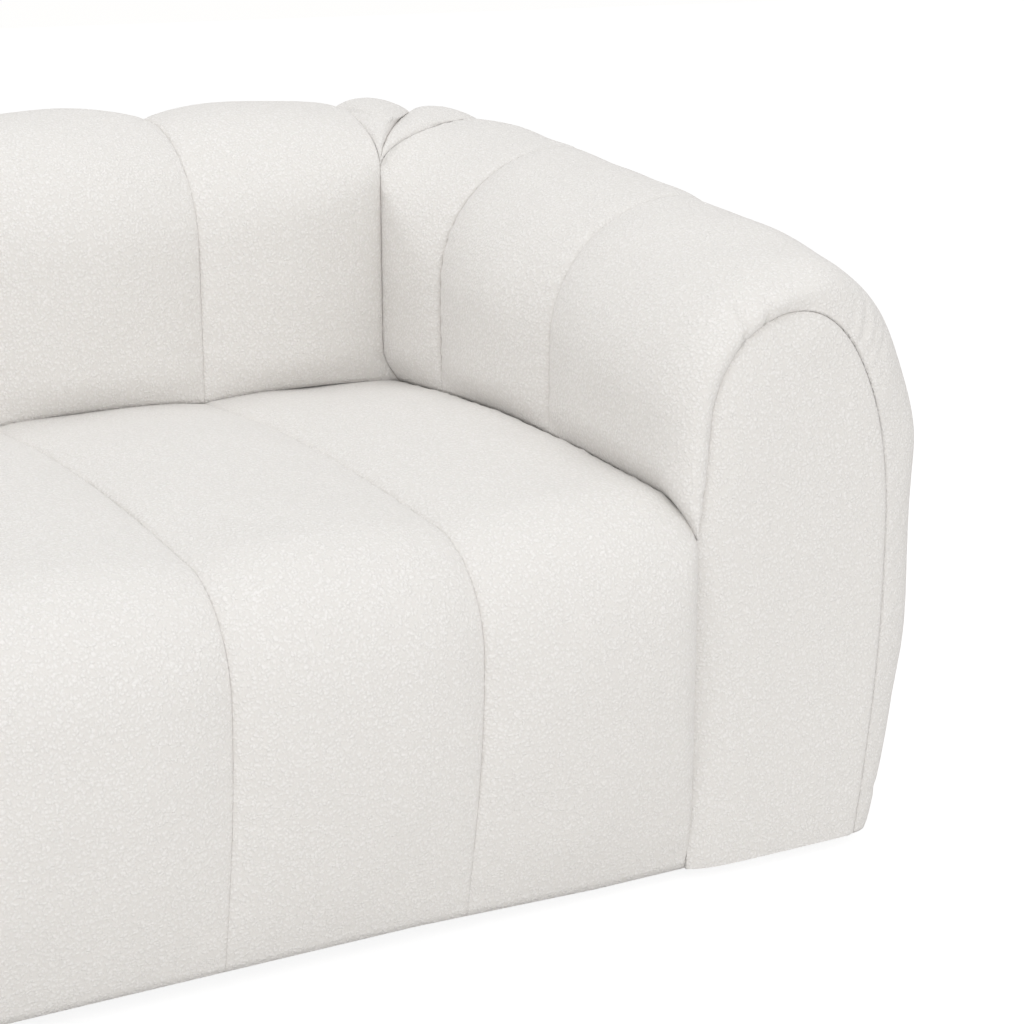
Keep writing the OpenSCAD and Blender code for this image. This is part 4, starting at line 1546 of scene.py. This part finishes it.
    def panel_grid(self) -> np.ndarray:
        """Draws the arched front panel, a slightly domed pad.

        Returns:
            Rings of points from its rear edge over its seam to the middle of its face. Each starts at
            the lower corner at the seat, runs over the arch and comes back along the lower edge.
        """
        form = self.form
        rim_points, base_points, ring_count = self.panel_points
        rim = evenly(self.pocket(form.gap), rim_points)
        rim = np.concatenate([[[self.panel_side, 0.0], [self.panel_side, rim[0, 1] / 2]], rim])
        base = np.linspace([rim[-1, 0], 0.0], [self.panel_side, 0.0], base_points)[1:-1]
        edge = np.concatenate([rim, base])
        spine = curve(np.clip(edge[:, 0], *self.spine_x), np.clip(edge[:, 1], *self.spine_z))
        seam_y = self.roll_r * (1 - np.sin(np.radians(self.turns(rim)))) - self.roll_reach
        steep, steeper = self.panel_slopes
        slope = steep - (steep - steeper) * np.clip(self.over(rim[:, 0]), 0, 1)
        rings = [self.at(edge, self.panel_rear)]
        for share in np.linspace(0, 1, ring_count) ** self.ring_power:
            flat = edge + (spine - edge) * share * self.ring_reach
            apart = np.linalg.norm(flat[:, None] - rim[None], axis=2)
            near = apart.argmin(axis=1)
            fall = np.exp(-apart.min(axis=1) / slope[near])
            rings.append(self.at(flat, seam_y[near] * fall - self.panel_face * (1 - fall)))
        return np.array(rings)

    def panel(self) -> None:
        """Makes the arched front panel, which is closed at its rear."""
        grid = self.panel_grid()
        numbers = np.arange(grid[..., 0].size).reshape(grid.shape[:2])
        closed = np.concatenate([numbers, numbers[:, :1]], axis=1)
        faces = turned_over(quads(closed)).tolist() + [numbers[0].tolist(), numbers[-1].tolist()]
        side = self.side.word
        piece = smooth_mesh(f"arm_front_pad_{side}", self.handed(grid).reshape(-1, 3), faces)
        # Distances from the seam, for the boucle's painted seam shade
        spans = np.linalg.norm(grid - grid[1], axis=2)
        spans[0] = 0
        spans[:, 2 - self.panel_points[1] :] = FAR
        mark_seams(piece, spans.ravel())
        declare(piece, f"arm_front_panel_{side}", "boucle", self.panel_fill)

    def build(self) -> None:
        """Makes the arm's covers and its panel."""
        side = self.side.word
        more = self.left_seed if self.side is Side.LEFT else 0
        rest = (lofted(lines, self.rows) for lines in (self.middle_lines, self.rear_lines))
        for i, grids in enumerate((self.front_channel(), *rest), 1):
            names = f"arm_cover_{side}_{i}", f"arm_channel_{side}_{i}"
            CoverSkin(*names, *map(self.handed, grids), self.seed + more + i).build()
        for i in (1, 2):
            names = f"corner_cover_{side}_{i}", f"corner_channel_{side}_{i}"
            grids = lofted(lambda share: self.wedge_lines(i, share), self.rows)
            seed = self.wedge_seed + more + i
            CoverSkin(*names, *map(self.handed, grids), seed, self.wedge_relief).build()
        self.panel()


# Inside


@dataclass
class SoftInside:
    """The foam, felt, webbing and dust cover below the covers, with softened edges."""

    slots: dict[str, str]
    nodes: dict[str, bpy.types.Object]
    edges: tuple[tuple[str, float], ...] = (
        ("foam", 0.006),
        ("felt", 0.0004),
        ("webbing", 0.0004),
        ("lining", 0.0004),
    )
    fill: float = 1.0
    weld: float = 1e-5
    flat: float = math.radians(1)
    sharp: float = math.radians(35)

    def softened(self, node: str, edge: float) -> bpy.types.Object:
        """Makes a soft piece in the place of a CAD node, with rounded edges.

        Args:
            node: Name of the CAD node.
            edge: Width of the rounding.

        Returns:
            The new object.
        """
        piece = bpy.data.objects.new(f"{node}_soft", self.nodes[node].data.copy())
        bpy.context.scene.collection.objects.link(piece)
        form = bmesh.new()
        form.from_mesh(piece.data)
        bmesh.ops.remove_doubles(form, verts=form.verts, dist=self.weld)
        bmesh.ops.dissolve_limit(form, angle_limit=self.flat, verts=form.verts, edges=form.edges)
        sharp = [part for part in form.edges if part.is_manifold and part.calc_face_angle() > self.sharp]
        words = {"segments": 3, "profile": 0.6, "affect": "EDGES", "clamp_overlap": True}
        bmesh.ops.bevel(form, geom=sharp, offset=edge, **words)
        bmesh.ops.recalc_face_normals(form, faces=form.faces)
        form.to_mesh(piece.data)
        form.free()
        piece.data.materials.clear()
        return piece

    def build(self) -> None:
        """Makes all the soft inner pieces."""
        for slot, edge in self.edges:
            for node in self.slots:
                if self.slots[node] == slot:
                    declare(self.softened(node, edge), node, slot, self.fill)


@dataclass
class HardInside:
    """The wooden frame, the springs, the bolts and the feet, which keep their CAD shapes."""

    slots: dict[str, str]
    nodes: dict[str, bpy.types.Object]
    soft: tuple[str, ...] = ("boucle", "foam", "felt", "webbing", "lining")

    def build(self) -> None:
        """Gives every hard CAD node its finish."""
        for node, slot in self.slots.items():
            if slot in self.soft:
                continue
            piece = self.nodes[node]
            material = FINISHES[slot].material()
            if not piece.material_slots:
                piece.data.materials.append(material)
            for place in piece.material_slots:
                place.material = material
            log.info("%s: %s", node, material.name)


# Studio


@dataclass(frozen=True)
class Lamp:
    """A soft square lamp: its name, its place and its power in watts."""

    name: str
    place: Place
    power: float
    size: float = 3.0
    aim: Place = (0.3, 0.0, 0.35)

    def build(self) -> None:
        """Adds the lamp, pointed at the sofa's middle."""
        light = bpy.data.lights.new(self.name, "AREA")
        light.size = self.size
        light.energy = self.power
        holder = bpy.data.objects.new(self.name, light)
        holder.location = self.place
        holder.rotation_euler = (Vector(self.aim) - Vector(self.place)).to_track_quat("-Z", "Y").to_euler()
        bpy.context.scene.collection.objects.link(holder)


@dataclass(frozen=True)
class Studio:
    """The camera, the floor, the lamps and the world."""

    camera_place: Place = (-0.477, -2.2885, 1.011)
    camera_pitch: float = 15.57
    camera_yaw: float = 29.08
    lens: float = 82.67
    sensor_w: float = 36.0
    ambient: float = 0.62
    ambient_colour: Colour = (1.0, 0.995, 0.985)
    floor_reach: float = 12.0
    floor_colour: Colour = (0.82, 0.81, 0.80)
    floor_shade: Colour = (0.24, 0.24, 0.24)
    floor_glow: float = 0.88
    lamps: tuple[Lamp, ...] = (
        Lamp("Key", (-2.4, -3.2, 3.4), 46.0),
        Lamp("Fill", (0.6, -4.2, 1.3), 35.0),
        Lamp("Top", (0.4, 0.2, 3.6), 31.0),
    )

    def seen(self, shader: Shader) -> Socket:
        """Finds out which rays meet the background as such.

        Args:
            shader: The nodes of the floor or the world.

        Returns:
            1 for rays from the camera, from gloss and through glass, and 0 for others.
        """
        path = shader.node("ShaderNodeLightPath")
        gloss = shader.maths("MAXIMUM", path.outputs["Is Glossy Ray"], path.outputs["Is Transmission Ray"])
        return shader.maths("MAXIMUM", path.outputs["Is Camera Ray"], gloss)

    def camera(self) -> None:
        """Adds the camera at the photograph's viewing angle."""
        lens = bpy.data.cameras.new("Camera")
        lens.lens = self.lens
        lens.sensor_width = self.sensor_w
        holder = bpy.data.objects.new("Camera", lens)
        holder.location = self.camera_place
        holder.rotation_euler = (math.radians(90 - self.camera_pitch), 0.0, -math.radians(self.camera_yaw))
        bpy.context.scene.collection.objects.link(holder)
        bpy.context.scene.camera = holder

    def world(self) -> None:
        """Lights the object softly from all sides, before a white background."""
        world = bpy.data.worlds.new("Studio")
        bpy.context.scene.world = world
        world.use_nodes = True
        shader = Shader(world.node_tree)
        shade = world.node_tree.nodes["Background"]
        shader.feed(shade.inputs["Color"], (*self.ambient_colour, 1.0))
        shader.feed(shade.inputs["Strength"], shader.span(self.seen(shader), 0.0, 1.0, self.ambient, 1.0))

    def floor(self) -> None:
        """Adds a pale floor that shows white and keeps the object's shadow."""
        square = np.array([[-1, -1, 0], [1, -1, 0], [1, 1, 0], [-1, 1, 0]])
        floor = smooth_mesh("floor", self.floor_reach * square, [(0, 1, 2, 3)])
        made = bpy.data.materials.new("Pale floor")
        made.use_nodes = True
        shader = Shader(made.node_tree)
        surface = made.node_tree.nodes["Principled BSDF"]
        shader.feed(surface.inputs["Base Color"], (*self.floor_colour, 1.0))
        shader.feed(surface.inputs["Roughness"], 0.9)
        pale = shader.node("ShaderNodeBsdfDiffuse", Color=(*self.floor_shade, 1.0)).outputs[0]
        glow = shader.node("ShaderNodeEmission", Strength=self.floor_glow).outputs[0]
        both = shader.node("ShaderNodeAddShader", None, pale, glow).outputs[0]
        mix = shader.node("ShaderNodeMixShader", None, self.seen(shader), surface.outputs[0], both)
        shader.feed(made.node_tree.nodes["Material Output"].inputs["Surface"], mix.outputs[0])
        floor.data.materials.append(made)

    def build(self) -> None:
        """Sets up the whole studio."""
        self.camera()
        self.world()
        self.floor()
        for lamp in self.lamps:
            lamp.build()
        bpy.context.scene.view_settings.view_transform = "Standard"


def main() -> None:
    """Builds the dressed sofa and its studio."""
    logging.basicConfig(level=logging.INFO, format="%(name)s: %(message)s")
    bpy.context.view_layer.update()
    for item in list(bpy.data.objects):
        if item.type in ("LIGHT", "CAMERA") or item.name == "Cube":
            bpy.data.objects.remove(item)
    slots = {part["node"]: part["material_slot"] for part in frame["record"]["subparts"]}
    form = SofaForm()
    Studio().build()
    Seat(form).build()
    Back(form).build()
    for side in Side:
        Arm(form, side).build()
    SoftInside(slots, frame["nodes"]).build()
    HardInside(slots, frame["nodes"]).build()


if __name__ == "__main__":
    main()
